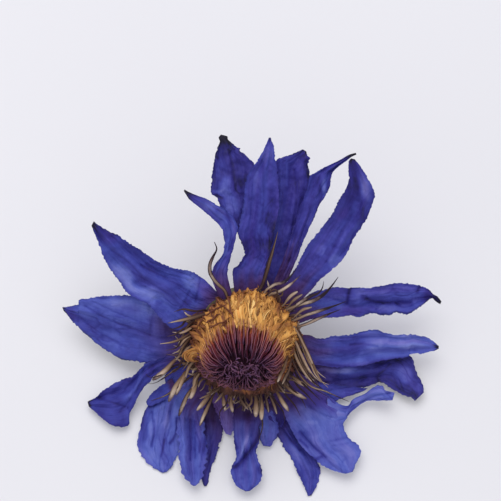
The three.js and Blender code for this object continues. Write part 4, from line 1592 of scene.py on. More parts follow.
PETALS = (
    Petal("petal_scrap_1", node=False, layer=0.5, tone=0.9, violet=0.9, root=0.8, ragged=0.4, crumple=0.5,
        left=(-8, -9, -7.3, -12, -6.3, -15.1, -5.2, -17.6, -3.7, -20.6),
        right=(0.6, -9, 0, -12.5, -0.7, -15.5, -1.5, -17.8, -2.6, -21),
    ),
    Petal("petal_scrap_2", node=False, layer=0.5, tone=0.35, violet=0.8, root=0.7, ragged=0.4, crumple=0.5,
        left=(2.3, -9, 3, -12, 4.1, -15.1, 5.6, -17.4, 7.3, -19.1),
        right=(12.6, -8.1, 12.4, -11.2, 11.6, -14.2, 10.1, -17, 8.4, -19.3),
    ),
    Petal("petal_scrap_3", node=False, layer=0.2, root=0.4, ragged=0.3, crumple=0.6,
        left=(-9.6, -2.4, -12.2, -4, -14.4, -5.3, -16.2, -6.9, -17, -8.6),
        right=(-8, -7.7, -10.1, -8.6, -12.3, -9.4, -14.5, -10.3, -16.6, -10.6),
    ),
    Petal("petal_scrap_7", node=False, layer=0.5, tone=0.4, violet=0.7, ragged=0.3, crumple=0.4,
        left=(-6.2, 3.2, -6.6, 5.4, -6.6, 7.3, -6.1, 8.8, -5.3, 9.8),
        right=(-0.2, 4.6, -0.6, 6.7, -1.7, 8.4, -3, 9.6, -4.7, 10.1),
    ),
    Petal("petal_scrap_4", node=False, layer=0.5, tone=0.72, violet=0.25, root=0.1, ragged=0.4, crumple=0.5,
        left=(1.5, -13.3, 2.3, -15.9, 2.8, -18.5, 3, -20.8, 4.3, -23.1),
        right=(5.8, -12.9, 6.6, -15.5, 7.5, -17.6, 7.7, -20.2, 5.8, -23.3),
    ),
    Petal("petal_scrap_5", node=False, layer=0.5, violet=0.25, ragged=0.3, crumple=0.5,
        left=(11.3, -7.7, 14.8, -9, 18.7, -9.9, 22.6, -10.4, 27, -10.9),
        right=(12.2, -11.6, 15.3, -12.9, 18.7, -14, 21.7, -13, 26.1, -11.5),
    ),
    Petal("petal_scrap_6", node=False, layer=0.5, violet=0.1, root=0.2, ragged=0.3, crumple=0.5,
        left=(-15.3, -8.6, -17.2, -9.9, -19, -11.2, -20.3, -12.5, -21, -13.8),
        right=(-14, -11.6, -16, -12.9, -17.9, -13.8, -19.7, -14.7, -20.7, -14.5),
    ),
    Petal("sepal_back", slot=Slot.SEPAL, curl=-0.5, cup=0.4, tone=0.33, violet=0.35, ragged=0.26,
        burnt_tip=0.05,
        left=(1, 6, 0.6, 15.6, 0.6, 18.3, -0.2, 20.6, -1.5, 22.8, -3.2, 24.9, -4.4, 27, -5.4, 28.9,
        -5.6, 29.9, -6.5, 30.4, -6.9, 31.4, -6.8, 33.1, -6.5, 35.6, -5.9, 38.5, -5.4, 40.5, -4.9, 41.7,
        -5.1, 42.6, -4.5, 43.6),
        right=(3.4, 6, 3.4, 16.4, 3.4, 23.2, 3.3, 29.5, 3, 33.7, 2.5, 36.9, 1.5, 38.2, 0.6, 39.2, -0.5, 39.8,
        -0.4, 40.4, -1.3, 40.7, -2.5, 41.7, -3.1, 42.3, -3.3, 43.3),
        folds=(Fold(-0.3, -0.1, 0.5, 0.25, 0.4), Fold(0.4, 0.3, -0.4)),
        # Painted light: the patch at (-5.5, 31.4) is a highlight along a step, and the first crease is the
        # shade under it.
        patches=(Patch(-3.8, 41.8, -0.2, 3.4, 1.9, 90), Patch(-3.8, 32.3, 0.32, 2.3, 1.7, 85),
        Patch(-5.5, 31.4, 0.25, 1.5, 0.5, 20), Patch(-2.5, 28.5, 0.34, 2.7, 2.3, 90),
        Patch(-0.4, 34.4, -0.08, 2.5, 1.7, 90)),
        creases=(Crease((-5.7, 30.6, -4.4, 29.9), -0.3, 0.3, -0.2),
        Crease((-5.1, 41.1, -6.1, 38, -6.3, 35.4, -6.3, 33.7), -0.14, 0.5, 0),
        Crease((-3, 40.1, -2.1, 35.8, -1.5, 31.6), -0.12, 0.3)),
    ),
    Petal("sepal_left", slot=Slot.SEPAL, lift=0.5, curl=1, cup=0.5, tone=0.57, violet=0.02, root=0.36,
        ragged=0.24, burnt_tip=0.02, burnt_edge=0.8,
        left=(-6, -1.6, -15.3, -5.3, -17.9, -5.8, -20.5, -5.7, -22, -5.4, -23.9, -5, -25.3, -4.8,
        -26.6, -4.5, -28.4, -3.6, -29.9, -2.7, -31.6, -1.3, -33.1, 0, -34.6, 1.2, -35.8, 2.3, -37, 3.6,
        -37.9, 4.9, -38.9, 6),
        right=(-6, 2.2, -13.5, 5.7, -18.8, 7.6, -22.1, 8.8, -24.8, 9.3, -27.5, 9.3, -30.2, 9.1, -32.9, 8.7,
        -35.3, 8.4, -35.2, 7.5, -36.2, 7.2, -37.3, 6.9, -39.3, 6.6),
        folds=(Fold(0.1, 0.35, 0.5, 0.22), Fold(-0.5, -0.2, -0.4)),
        # Painted shadow: the patch at (-14.4, 1.8) and the crease near (-19.5, 4) darken the part that
        # petal_left_2 shades.
        patches=(Patch(-25.3, 7.6, 0.2, 5.9, 1.2, 2), Patch(-37.4, 5.1, -0.16, 1.7, 1.5, 0, 0.3),
        Patch(-14.4, 1.8, -0.2, 3.4, 2.9, 80, 0.15), Patch(-19.9, 6.1, 0.22, 2.3, 1.7, 0, -0.2),
        Patch(-16.5, 5.1, 0.16, 1.9, 0.7, 10), Patch(-30, 3.4, -0.1, 2.7, 1.3, -20),
        Patch(-28.3, -0.7, 0.05, 3.8, 1.7, -25)),
        creases=(Crease((-34, 6.9, -28.7, 3.9, -20, 0.7), -0.16, 0.25, -0.25),
        Crease((-32.5, 8, -26.5, 5.2, -19.5, 2.7), -0.1, 0.2, -0.2),
        Crease((-18.8, 6.5, -19.5, 4, -20, 0.7), -0.08, 0.4),
        Crease((-35.2, 4.3, -30.9, 1, -24.8, -2.2), -0.1, 0.25, -0.2)),
    ),
    Petal("sepal_front", slot=Slot.SEPAL, tone=0.38, violet=0.5, root=0.6, ragged=0.35, burnt_edge=0.4,
        left=(-1.6, -5.4, -4.6, -16.2, -4.1, -18.8, -4.8, -21.9, -5.8, -25, -6.7, -28.1, -7.2, -30.2,
        -7.9, -31.6),
        right=(-4.4, -5, -9.7, -16, -9.9, -19.8, -9.9, -24, -9.7, -27.3, -9.1, -29.8, -8.2, -31.7),
        folds=(Fold(0, 0.1, 0.5, 0.3),),
        patches=(Patch(-6.7, -20.2, 0.12, 3.4, 1.3, 85),),
        creases=(Crease((-7.6, -17.7, -6.9, -23, -7.7, -28.1), -0.15, 0.3),),
    ),
    Petal("sepal_right", slot=Slot.SEPAL, lift=0.5, curl=1.5, cup=0.3, tone=0.32, root=0.36, ragged=0.28,
        left=(6, -1.2, 16.1, -3, 21.9, -3, 27.4, -3.1, 32.9, -3.1, 35.1, -3.7, 36.2, -4, 37.2, -5.4,
        37.7, -7.6, 38.8, -9.7, 39.1, -12),
        right=(6, -4.4, 14.8, -9.1, 17.7, -10.8, 19.8, -12.1, 22.5, -12.1, 24, -11.4, 25.3, -10.9,
        26.6, -10.6, 28, -10.2, 29.6, -9.7, 31.2, -10.4, 33.3, -11.8, 34.9, -12.4, 36, -12.9, 37.2, -13.8),
        folds=(Fold(-0.2, 0.1, 0.5, 0.3, 0.3, 0.9), Fold(0.5, 0.4, -0.4, 0.2, 0.3, 0.9)),
        patches=(Patch(20.9, -7.1, 0.56, 5.1, 0.7), Patch(28.5, -6.8, 0.02, 2.5, 2.3, 0, 0.12),
        Patch(34.8, -8.1, 0.34, 1.9, 2.1, 60), Patch(38, -10.4, 0.18, 1.3, 1.9, 90),
        Patch(23.1, -10, -0.06, 3.4, 1.5)),
        # Painted shadow: the crease from (28.7, -5.7) to (36.1, -4.4) is the shade under the edge of the
        # petal that lies over it.
        creases=(Crease((29.6, -9.6, 29.2, -8.1, 31.8, -5.9), -0.18, 0.35, 0.4),
        Crease((28.7, -5.7, 32.2, -5.3, 36.1, -4.4), -0.1, 0.5, -0.2),
        Crease((17.6, -9.7, 22, -9.1, 26.6, -8.7))),
    ),
    Petal("petal_back_1", layer=2, lift=2, curl=2, cup=0.5, tone=0.6, root=0.28, burnt_tip=0.06,
        burnt_edge=0.4,
        left=(-3.6, 6, -6.7, 12.9, -6.6, 14.5, -5.8, 16.1, -4.6, 17.5, -4.1, 18.9, -3.9, 20.7, -4.2, 22.5,
        -4.8, 23.9, -6.5, 25.6, -7.7, 26.7, -8.7, 27.5, -11, 29.3, -11.8, 30.4, -12.4, 31.4),
        right=(-1.4, 6.4, -3, 12.4, -3.2, 14.3, -2.6, 17.1, -1.9, 19.4, -1.3, 21.9, -1, 24, -2.1, 26.1,
        -3.5, 27.4, -5.1, 28.2, -5.8, 28.6, -6.9, 29.3, -8.7, 30, -11, 30.9, -12.3, 31.7),
        folds=(Fold(0.1, 0, 0.5, 0.4, 0.4),),
        patches=(Patch(-10.8, 30.4, -0.28, 2.1, 1.1, -25, 0.3), Patch(-6.9, 28.3, 0.14, 1.1, 0.8),
        Patch(-2.7, 21.5, -0.06, 3.8, 1.1, -75)),
        creases=(Crease((-3.5, 26.9, -2.5, 23.6, -2.9, 18.9), -0.16, 0.3),),
    ),
    Petal("petal_back_2", layer=1, lift=1, curl=1.5, cup=0.6, tone=0.47, violet=0.32, root=0.22,
        burnt_tip=0.015, burnt_edge=0.3,
        left=(-1.2, 6, -2.2, 14.1, -1, 15.8, 0.2, 18.3, -0.4, 20.2, -1.1, 22.3, -0.6, 24.8, -0.1, 28.4,
        0.2, 31.6, 0.6, 34, 1.6, 35.9, 2.9, 37.4, 4.2, 39.6, 5, 41.4, 5.5, 42.7),
        right=(2.6, 6, 4.8, 15.6, 5.7, 18.9, 6.7, 22.7, 7.4, 26.3, 7.6, 29.5, 7.5, 32.6, 7.2, 35.7, 7, 37.6,
        6.7, 39, 6.5, 40.7, 6, 41.7, 5.8, 42.7),
        folds=(Fold(0.1, 0.1, 0.7, 0.25), Fold(-0.4, -0.3, -0.4)),
        # Painted shade: the long dark patch at (5.9, 26.1) is the shade of a fold.
        patches=(Patch(4.8, 39.4, 0.14, 2.5, 1.7, 70), Patch(2.7, 34, 0.12, 3.2, 0.8, 80),
        Patch(5.9, 26.1, -0.28, 6.7, 1.1, 87), Patch(0.4, 28, 0.14, 1.9, 1.3, 90),
        Patch(2.5, 19.4, -0.2, 4.2, 2.9, 0, 0.3)),
        creases=(Crease((4, 37.8, 4.4, 31.5, 4, 24.8)),
        Crease((1.5, 29.5, 1.9, 24.8, 1.5, 21.1), -0.1, 0.25, -0.2)),
    ),
    Petal("petal_back_3", curl=-1, cup=0.3, tone=0.31, root=0.2, ragged=0.28, burnt_tip=0.02, burnt_edge=0.7,
        left=(3.8, 6, 4, 15.8, 4.9, 22.1, 5.7, 28.5, 6.1, 33.7, 6.8, 37.1, 7.3, 38.3, 8.7, 38.7, 10.4, 39.3,
        11.6, 39.8, 12.9, 40.4),
        right=(5.4, 5, 10.6, 16.8, 11.9, 21.1, 13.3, 26.4, 14.4, 30.6, 14.3, 33.4, 14, 35.5, 13.7, 37.3,
        14.2, 38.5, 13.7, 38.9, 13.3, 40.1),
        folds=(Fold(0.3, 0.5, 0.5, 0.25, 0.4), Fold(-0.1, 0, -0.4, 0.2, 0.4)),
        patches=(Patch(9.9, 27, 0.1, 5.5, 1.9, 85, 0.2), Patch(12.1, 36.3, 0.05, 1.7, 1.3, 60)),
        creases=(Crease((8, 38, 8, 32.7), 0.14, 0.22, 0.2), Crease((9.3, 38, 9.3, 32.5), 0.14, 0.22, 0.2),
        Crease((13.1, 38.9, 13.8, 34.2), -0.14, 0.5, 0),
        Crease((10.8, 35.9, 11.2, 29.5, 10.2, 22.1), -0.12, 0.3)),
    ),
    Petal("petal_back_4", layer=1, lift=1.2, curl=1, cup=0.4, tone=0.4, root=0.36, ragged=0.16,
        burnt_tip=0.05, burnt_edge=0.3,
        left=(3.6, 5.6, 8.2, 16.4, 9.7, 21.1, 11.2, 25.3, 12.6, 29.5, 13.5, 32.2, 14, 34.5, 15.5, 35.5,
        17, 36.3, 18.7, 37.1, 20.4, 37.9, 21.8, 38.7, 22.7, 39.1, 24, 39.4),
        right=(6, 5, 10.1, 14.1, 11.8, 18.1, 13.7, 23, 15, 25.7, 16.1, 28.2, 17.1, 29.7, 17.8, 31,
        18.3, 32.4, 18.5, 34.1, 18.9, 35.3, 19.9, 36.3, 20.8, 37, 21.8, 37.7, 22.8, 38.5, 24.1, 39.1),
        folds=(Fold(0, 0, 0.6, 0.3), Fold(0.6, 0.4, -0.3, 0.2, 0.4)),
        patches=(Patch(14.8, 27.4, 0.2, 5.5, 0.6, 80), Patch(16, 32.8, -0.1, 2.3, 0.6, 85),
        Patch(17.3, 31.6, 0.44, 2.1, 0.7, 80), Patch(22, 38.5, -0.2, 2.1, 0.8, 25)),
        creases=(Crease((16.2, 28.4, 14.6, 24.2, 12.7, 20)),
        Crease((15.5, 34.5, 17.8, 35.7, 20.6, 37.2), 0.12, 0.3, 0.2)),
    ),
    Petal("petal_back_5", layer=2, lift=2.5, curl=3, cup=0.7, tone=0.42, violet=0.34, burnt_tip=0.02,
        burnt_edge=0.35,
        left=(5, 5, 10.1, 13.8, 11.3, 15.7, 13.2, 19.6, 15.1, 21.9, 17, 24.3, 18.7, 26.7, 19.8, 29, 21, 30.9,
        21.9, 32.8, 21.9, 35.1, 21.9, 37.3, 22.6, 38.1),
        right=(7, 3.4, 14.7, 10.7, 16.1, 12.4, 18.6, 14.3, 20.9, 16.6, 22.4, 19.1, 23.8, 21.9, 25.5, 24.3,
        26.6, 26.7, 27.4, 29.5, 27.5, 31, 26.6, 33, 24.9, 35.6, 23.6, 37.3, 22.9, 38),
        folds=(Fold(0.4, 0.55, 0.7, 0.16, 0.4), Fold(-0.3, -0.2, -0.4, 0.25)),
        patches=(Patch(25.6, 32.1, 0.46, 3.2, 1.5, -70), Patch(22.5, 30.8, -0.14, 3.8, 1.5, 75),
        Patch(19.6, 16.4, 0.24, 1.7, 1.5), Patch(16.2, 18.9, 0.18, 1.3, 1.1, 40),
        Patch(21, 26.7, 0.06, 1.7, 1.1, 60, 0.4)),
        creases=(Crease((22.6, 37.6, 23.7, 33.5, 24.9, 28.8, 24.8, 25.7), -0.14, 0.7, 0.5),
        Crease((18.3, 16.4, 21.5, 22.7), 0.14, 0.3, 0.3), Crease((16.4, 17.7, 20, 24), 0.1, 0.25, 0.25),
        Crease((17.5, 16.4, 20.4, 21.9, 22.9, 26.5), -0.12, 0.3), Crease((23, 21.1, 20.5, 17.7), -0.1)),
    ),
    Petal("petal_right_1", lift=3, curl=0.5, cup=0.5, tone=0.54, violet=0.25, root=0.26, ragged=0.22,
        ruffle=0.4, burnt_tip=0.05, burnt_edge=0.7,
        left=(6, 3, 13.2, 8.9, 14.7, 10, 16.3, 10.6, 17.8, 10.7, 19.7, 11.1, 22.2, 10.9, 23.3, 11.1,
        25, 11.1, 26.5, 11, 28.4, 11.3, 30.5, 11.5, 32.3, 11.8, 34.4, 11.9, 36, 11.8, 37.2, 11.7, 38.5, 11.2,
        39.8, 10.5, 40.7, 9.5, 41.8, 8.9, 42.8, 7.6),
        right=(6.4, 1, 13.4, 3.8, 16, 4.3, 18.8, 4.5, 21.2, 4.7, 23.1, 4.8, 24.7, 4.4, 26.2, 4.8, 27.6, 5.4,
        29.6, 4.9, 31.6, 4.9, 32.5, 5.4, 33.5, 5.2, 35.5, 5, 37.4, 6.4, 39.3, 7.8, 40.5, 8.6, 41.4, 7.8,
        42.6, 7.1),
        folds=(Fold(0.35, 0.3, -0.6, 0.22, 0.35), Fold(-0.3, -0.4, 0.5, 0.25, 0.35),
        Fold(0.9, 0.8, 0.6, 0.2, 0.5)),
        patches=(Patch(30.4, 10.4, 0.1, 6.3, 1.1), Patch(24.4, 9.7, 0.1, 1.3, 0.6),
        Patch(30.9, 6.3, 0.2, 3.2, 0.8), Patch(20.1, 9.5, 0.1, 2.1, 1.3, 0, 0.3),
        Patch(23.1, 6.3, -0.08, 2.1, 1.7, 0, 0.4), Patch(40.3, 8.9, -0.3, 2.1, 1.7, -40, 0.5)),
        creases=(Crease((25.5, 8.9, 28.3, 7.8, 32, 7.6, 35.8, 7.6), -0.3, 0.5),
        Crease((23.1, 11.5, 22.6, 9.8, 22.2, 7.8), -0.32, 0.4, -0.5),
        Crease((37.3, 9.9, 38.1, 11.5), -0.3, 0.35, -0.4),
        Crease((26.3, 10.4, 31.5, 10.6, 35.3, 10.2), -0.1, 0.22, -0.2),
        Crease((16.4, 9.1, 19.4, 8.5, 22, 7.4), -0.14)),
    ),
    Petal("petal_right_2", layer=1, lift=2, curl=0.5, cup=0.5, tone=0.62, violet=0.15, burnt_tip=0.03,
        burnt_edge=0.3,
        left=(6, 0.4, 13.1, 0.9, 15.8, 0.2, 17.3, 0.3, 18.8, 0.6, 22.2, 0.8, 24.6, 1.5, 27.6, 1.9, 29.2, 1.7,
        30.6, 1.2, 33, 0.7, 34.2, 0.8, 35.5, 0.9, 36.7, 0.9, 37.9, 0.7, 39.4, 0.3, 40.5, -0.3, 42.4, -1.9),
        right=(6, -2.8, 13.9, -5, 15.6, -5.7, 17, -5.9, 19.7, -6.3, 22.4, -6.3, 25.1, -6, 27.8, -5.5,
        30.5, -4.8, 33.3, -4.5, 34.8, -4.4, 35.7, -3.9, 35.9, -3.5, 37.2, -3.5, 38.6, -3.4, 40, -3.1,
        41.3, -2.8, 42.4, -2.2),
        folds=(Fold(-0.1, 0, 0.6, 0.3), Fold(0.5, 0.5, -0.4), Fold(-0.6, -0.5, -0.3)),
        patches=(Patch(33.8, -0.8, 0.31, 7.6, 1.9), Patch(25.3, -5.3, 0.14, 1.5, 0.6),
        Patch(30.3, -3.6, 0.08, 1.7, 1.1), Patch(22.9, -1.9, -0.26, 2.9, 2.5),
        Patch(16.9, -2.6, -0.06, 2.1, 2.5, 0, 0.2), Patch(42.7, -2.2, -0.25, 1.5, 1.1)),
        creases=(Crease((22.9, -1.4, 25.5, -1.2, 28.8, -1.7), -0.2, 0.25, -0.2),
        Crease((16, -5.2, 21.9, -6.2, 25.1, -6.6, 29.4, -5.2, 35.5, -4.3), -0.25, 0.45, -0.2),
        Crease((20.7, 0.1, 27.7, 0.3, 34.8, -0.2), -0.12, 0.22, -0.2),
        Crease((27.7, -2.8, 32, -2.4, 37, -2.6), -0.12, 0.25, -0.2),
        Crease((13.9, -2.4, 16.9, -3.1, 20.3, -3.8), -0.15, 0.25, -0.25)),
    ),
    Petal("petal_front_1", layer=1, curl=0.6, cup=0.3, tone=0.76, violet=0.08, root=0.42, ragged=0.22,
        burnt_edge=0.3,
        left=(5.4, -3.8, 12.2, -7.4, 16.1, -10.5, 19.1, -12.9, 21.5, -14.8, 22.1, -15.9, 22.4, -17,
        21.8, -17.9, 21.6, -18.8, 22.4, -20.7, 23.5, -21.8, 24.6, -22.6, 25.2, -24.2, 24.3, -26.4,
        23.2, -28.5),
        right=(3.2, -5.2, 5.3, -12.2, 8.1, -15.4, 9.8, -18.6, 11.5, -21.7, 13.4, -24.2, 15.3, -25.9,
        17.2, -27.1, 19.3, -28.1, 21.9, -28.7),
        folds=(Fold(0.3, 0.4, 0.5, 0.25), Fold(-0.4, -0.3, 0.4, 0.25), Fold(0.8, 0.7, -0.5, 0.16)),
        # Painted light: the patch at (15, -18) is a highlight and the one at (20.4, -11.6) a shadow.
        patches=(Patch(17.6, -20.1, 0.06, 5.1, 3.4, -40), Patch(15, -18, 0.14, 1.3, 0.5, 10),
        Patch(14.8, -12.8, -0.3, 5.5, 2.1, -25, 0.6), Patch(20.4, -11.6, -0.26, 2.5, 1.9, 0, 0.4),
        Patch(9.2, -13.3, -0.3, 2.9, 2.5, 0, 0.6), Patch(18.1, -25, 0.1, 2.5, 1.1, -20)),
        creases=(Crease((12.2, -20.1, 14.3, -22.4, 17.5, -25.2), -0.32, 0.35, -0.4),
        Crease((12.2, -21.7, 13.9, -23.2), -0.25, 0.3),
        Crease((11.5, -22.8, 14.7, -25.4, 16.8, -25.2), -0.28, 0.3),
        Crease((18.6, -21.9, 22.9, -21.1), -0.14, 0.22, -0.2),
        Crease((19, -23, 22.4, -22.3), -0.1, 0.2, -0.2),
        Crease((12.2, -13.3, 16.1, -15.9, 19.9, -17.6), -0.14),
        Crease((14.8, -11.5, 18.7, -14.2, 22.5, -15.5))),
    ),
    Petal("petal_front_1_lobe", node=False, layer=1, lift=1, curl=0.6, cup=0.1, tone=0.82, violet=0.1,
        root=0, ragged=0.18, burnt_edge=0.3,
        left=(18, -12.8, 22.1, -14.6, 23.5, -13.3, 24.7, -12.6, 26.2, -12, 27.3, -11.1, 28.4, -10.4,
        29.3, -10.1, 30.1, -10.3, 30.7, -11.1, 31.6, -11.4, 32.7, -11.7),
        right=(18, -19, 21.7, -17.8, 22.4, -16.8, 23.2, -15.9, 24.1, -15.2, 25.1, -14.4, 26.2, -13.8,
        27.3, -13.5, 28.8, -13.5, 30, -13.4, 31.2, -13.4, 32.2, -13.3),
        folds=(Fold(0, 0, 0.4, 0.3, 0.2),),
        patches=(Patch(22.3, -14.8, -0.25, 1.3, 1.9, 60),),
        creases=(Crease((24.7, -14.2, 28.2, -12.5, 31.6, -11.8)),),
    ),
    Petal("petal_front_2", tone=0.56, violet=0.25, root=0.5, ragged=0.35, burnt_edge=0.6,
        left=(3.8, -5, 10.1, -15.6, 12.7, -20.2, 15.2, -24.4, 16.7, -28.5, 15.6, -31.6, 14.4, -33.6),
        right=(1.4, -6, 3.2, -16, 4.7, -17.2, 6.3, -19.8, 7.9, -22.4, 9.5, -25, 10.9, -27.3, 13, -31.4,
        13.9, -33.7),
        folds=(Fold(0.3, -0.1, 0.6, 0.16, 0.4), Fold(-0.3, -0.5, -0.5, 0.14, 0.4)),
        patches=(Patch(10.7, -24.8, 0.26, 2.3, 1.1, -60), Patch(11.2, -20.9, -0.1, 2.1, 1.1, -70),
        Patch(14.6, -25.2, -0.14, 2.3, 1.1, -30), Patch(7.9, -17.1, -0.24, 2.9, 2.5, 0, 0.5)),
        creases=(Crease((8.6, -19.8, 10.3, -21.9, 12.2, -24), -0.26, 0.35, -0.4),
        Crease((6.2, -18.8, 8.1, -22.3, 9.6, -26.1), -0.16, 0.3)),
    ),
    Petal("petal_front_3", layer=1, lift=0.4, cup=0.3, tone=0.6, violet=0.2, root=0.5, ragged=0.24,
        burnt_tip=0.01, burnt_edge=0.8,
        left=(1.6, -5.4, 3.4, -16.1, 4, -17.5, 3.7, -19.1, 3.6, -21.7, 2.9, -23.8, 3.1, -25.4, 3.8, -27.1,
        4.1, -28.7, 3.4, -30.6, 1.3, -32.3),
        right=(-1, -5.4, -2.1, -15.8, -2.3, -18.6, -2, -22.2, -1.5, -24.4, -1.7, -25.9, -2.5, -27.3,
        -2.7, -28.7, -1.7, -30.8, 0.7, -32.4),
        folds=(Fold(0.2, -0.5, 0.9, 0.2, 0.35), Fold(-0.5, 0.3, -0.7, 0.2, 0.5)),
        patches=(Patch(0.8, -20.7, 0.1, 3.2, 0.7, 90), Patch(1.9, -27.1, 0.06, 2.1, 1.1),
        Patch(4.2, -27.5, -0.3, 1.1, 1.3, 60), Patch(0.4, -15, -0.32, 3.2, 2.9, 0, 0.5)),
        creases=(Crease((1, -20.9, 0, -23.6, -1.1, -26.3), 0.26, 0.45, 0.5),
        Crease((4, -18.6, 3.2, -21.1, 1.5, -23.8, -1.1, -26.9, -2.1, -27.3), -0.42, 0.55, -0.6),
        Crease((-2.8, -18.6, -2, -21.7, -1.3, -23.4), -0.3, 0.35),
        Crease((4.3, -21.7, 4.5, -25.4), -0.2, 0.3), Crease((2.5, -17.5, 1.9, -20.9), -0.14)),
    ),
    Petal("petal_front_4", layer=1, lift=0.2, curl=0.6, cup=0.3, tone=0.66, violet=0.12, root=0.5,
        ragged=0.45, burnt_edge=0.9,
        left=(-3, -5.2, -8.6, -15.4, -8.2, -18.6, -7.9, -21.7, -7.6, -24.8, -7.9, -27.5, -8.7, -29.7,
        -10.1, -31.2),
        right=(-5.2, -4.2, -12.7, -13.7, -14, -16.5, -14.4, -19.7, -14, -22.8, -14.4, -25, -13.6, -27.5,
        -12.3, -29.5, -10.4, -31.3),
        folds=(Fold(0.5, 0.5, 0.7, 0.2, 0.4), Fold(-0.1, 0, -0.6, 0.16, 0.4),
        Fold(-0.6, -0.5, 0.5, 0.2, 0.4)),
        patches=(Patch(-8.2, -22.6, -0.2, 1.3, 1.1, 90), Patch(-12.6, -23, 0.08, 2.9, 0.8, 88),
        Patch(-9.6, -25, 0.08, 1.7, 0.8, 80)),
        creases=(Crease((-11.4, -17.6, -11.2, -21.7, -11.3, -25.8), -0.26, 0.3, -0.4),
        Crease((-10.3, -17.8, -10.3, -21.7, -10.3, -25.4), -0.18, 0.22),
        Crease((-10.1, -20.3, -9.2, -22.4, -9.4, -24.2), -0.2),
        Crease((-8, -19.7, -8.4, -23.8, -9.2, -27.1), -0.2, 0.3)),
    ),
    Petal("petal_front_5", tone=0.77, violet=0.06, ragged=0.32,
        left=(-4.6, -4.6, -12.3, -13, -12.8, -17.7, -13.2, -21.9, -14, -25, -15.1, -27.3, -16.6, -28.7),
        right=(-6, -2.8, -17.9, -10.6, -19.6, -12.4, -21.2, -15.6, -22.2, -18.8, -23, -21.9, -22.6, -24,
        -20.8, -26.3, -19.1, -27.7, -17.1, -28.9),
        folds=(Fold(0.3, 0.3, 0.5, 0.25), Fold(-0.4, -0.4, -0.5, 0.15, 0.4)),
        patches=(Patch(-16.2, -18.6, 0.14, 2.9, 0.9, 90), Patch(-13.2, -21.1, 0.12, 3.8, 0.9, 88),
        Patch(-21.4, -19, -0.36, 3.8, 1.2, 85), Patch(-18, -10.8, 0.08, 2.5, 1.7)),
        creases=(Crease((-20.1, -14.7, -18.4, -14.1, -16.9, -13.4), -0.4, 0.55, -0.4),
        Crease((-14.3, -17.3, -14.3, -19.8, -15.1, -21.9, -15.7, -22.7), -0.44, 0.32, -0.5),
        Crease((-17, -21.9, -17.2, -23.6, -17.6, -25.2), -0.4, 0.3, -0.4),
        Crease((-11.9, -17.7, -11.9, -21.9, -11.6, -24.4, -12, -26.3), -0.46, 0.4, -0.5),
        Crease((-19.7, -16, -19.2, -19.8, -19.6, -23.2), -0.22, 0.28, -0.4),
        Crease((-15.8, -16, -15.6, -18.6, -16.2, -21.1), -0.24, 0.26, -0.4)),
    ),
    Petal("petal_left_1", layer=1, lift=-1, curl=0.5, cup=0.4, tone=0.4, violet=0.1, root=0.34, ragged=0.22,
        burnt_tip=0.02,
        left=(-6, -3, -17.8, -7.4, -20, -9.4, -21.7, -11.2, -22.7, -12.8, -23.3, -14.4, -24.3, -16.1,
        -24.5, -17.4, -24.5, -18.6, -25.6, -19.1, -27, -19.2, -28.6, -18.6, -30.2, -17.4, -31.9, -16,
        -33.5, -14.6),
        right=(-6.2, -1.4, -19.5, -4.6, -21.5, -6, -23, -7.5, -24.4, -8.5, -26.6, -9.2, -28.7, -10.3,
        -30.5, -11.5, -32, -12.8, -33.8, -13.8),
        folds=(Fold(0, 0.2, 0.8, 0.25), Fold(0.6, 0.6, -0.5, 0.2, 0.4)),
        patches=(Patch(-27.6, -11.7, -0.1, 2.7, 0.8, 20), Patch(-28.7, -10.2, 0.2, 2.7, 0.5, 18),
        Patch(-20.4, -7.2, -0.16, 1.7, 1.1, 70, 0.2), Patch(-28.3, -14.5, -0.05, 2.5, 1.5, 20),
        Patch(-24.8, -12.9, 0.08, 1.7, 1.3, 30)),
        creases=(Crease((-24.2, -12.5, -22.8, -9.9, -21.9, -7), 0.2, 0.4, 0.3),
        Crease((-31.3, -13, -28.3, -13.8, -24.8, -15.1), -0.14, 0.3),
        Crease((-26.5, -15.9, -24.4, -13.4, -23.5, -10.8))),
    ),
    Petal("petal_left_2", layer=1, lift=3, curl=1.5, cup=0.5, tone=0.52, violet=0.08, root=0.2, ragged=0.24,
        burnt_tip=0.03, burnt_edge=0.6,
        left=(-6, 1.6, -11.7, 1.7, -15.1, 2.1, -17.7, 4.2, -19.8, 6.8, -22.4, 8.4, -24.6, 9.6, -26.2, 12,
        -27.8, 14.3, -28.7, 15.8, -29.8, 18.1, -30.7, 20.5, -31.4, 22.5, -32, 24.3),
        right=(-4, 4.6, -4.4, 8.8, -5.9, 10.5, -7, 11.6, -8.6, 13.1, -10.7, 14.5, -12.5, 14.9, -14.4, 15.2,
        -17.6, 16.3, -20.2, 17.9, -21.8, 19.1, -23.3, 20, -25.9, 21.9, -27.8, 22.8, -29.5, 23.7, -30.7, 24.5,
        -31.6, 25.2),
        folds=(Fold(0, 0.2, 0.6, 0.25), Fold(-0.5, -0.4, -0.4), Fold(0.6, 0.5, -0.4)),
        patches=(Patch(-25.3, 13.4, 0.34, 4.2, 1.5, -52), Patch(-20.2, 9.4, 0.26, 3.8, 1.9, -20),
        Patch(-11.2, 12.4, 0.26, 2.1, 1.9, -50), Patch(-28.7, 21.5, -0.08, 1.9, 1.7, -50, 0.5),
        Patch(-21.4, 17.7, -0.04, 4.2, 1.7, -30), Patch(-30.9, 23.2, -0.24, 2.5, 1.1, -55),
        Patch(-11.9, 7.7, -0.26, 0.9, 0.8), Patch(-17.7, 7.7, -0.2, 0.8, 0.6),
        Patch(-7.6, 9.6, 0.08, 3.4, 1.7, -60, 0.6)),
        creases=(Crease((-9.1, 13, -9.3, 11.1, -10, 7.9)),
        Crease((-21.8, 15.8, -16.5, 13, -12.1, 10.5), -0.14, 0.24, -0.25),
        Crease((-23.6, 14.3, -18.5, 11.3, -14.2, 8.3), -0.12, 0.22, -0.2),
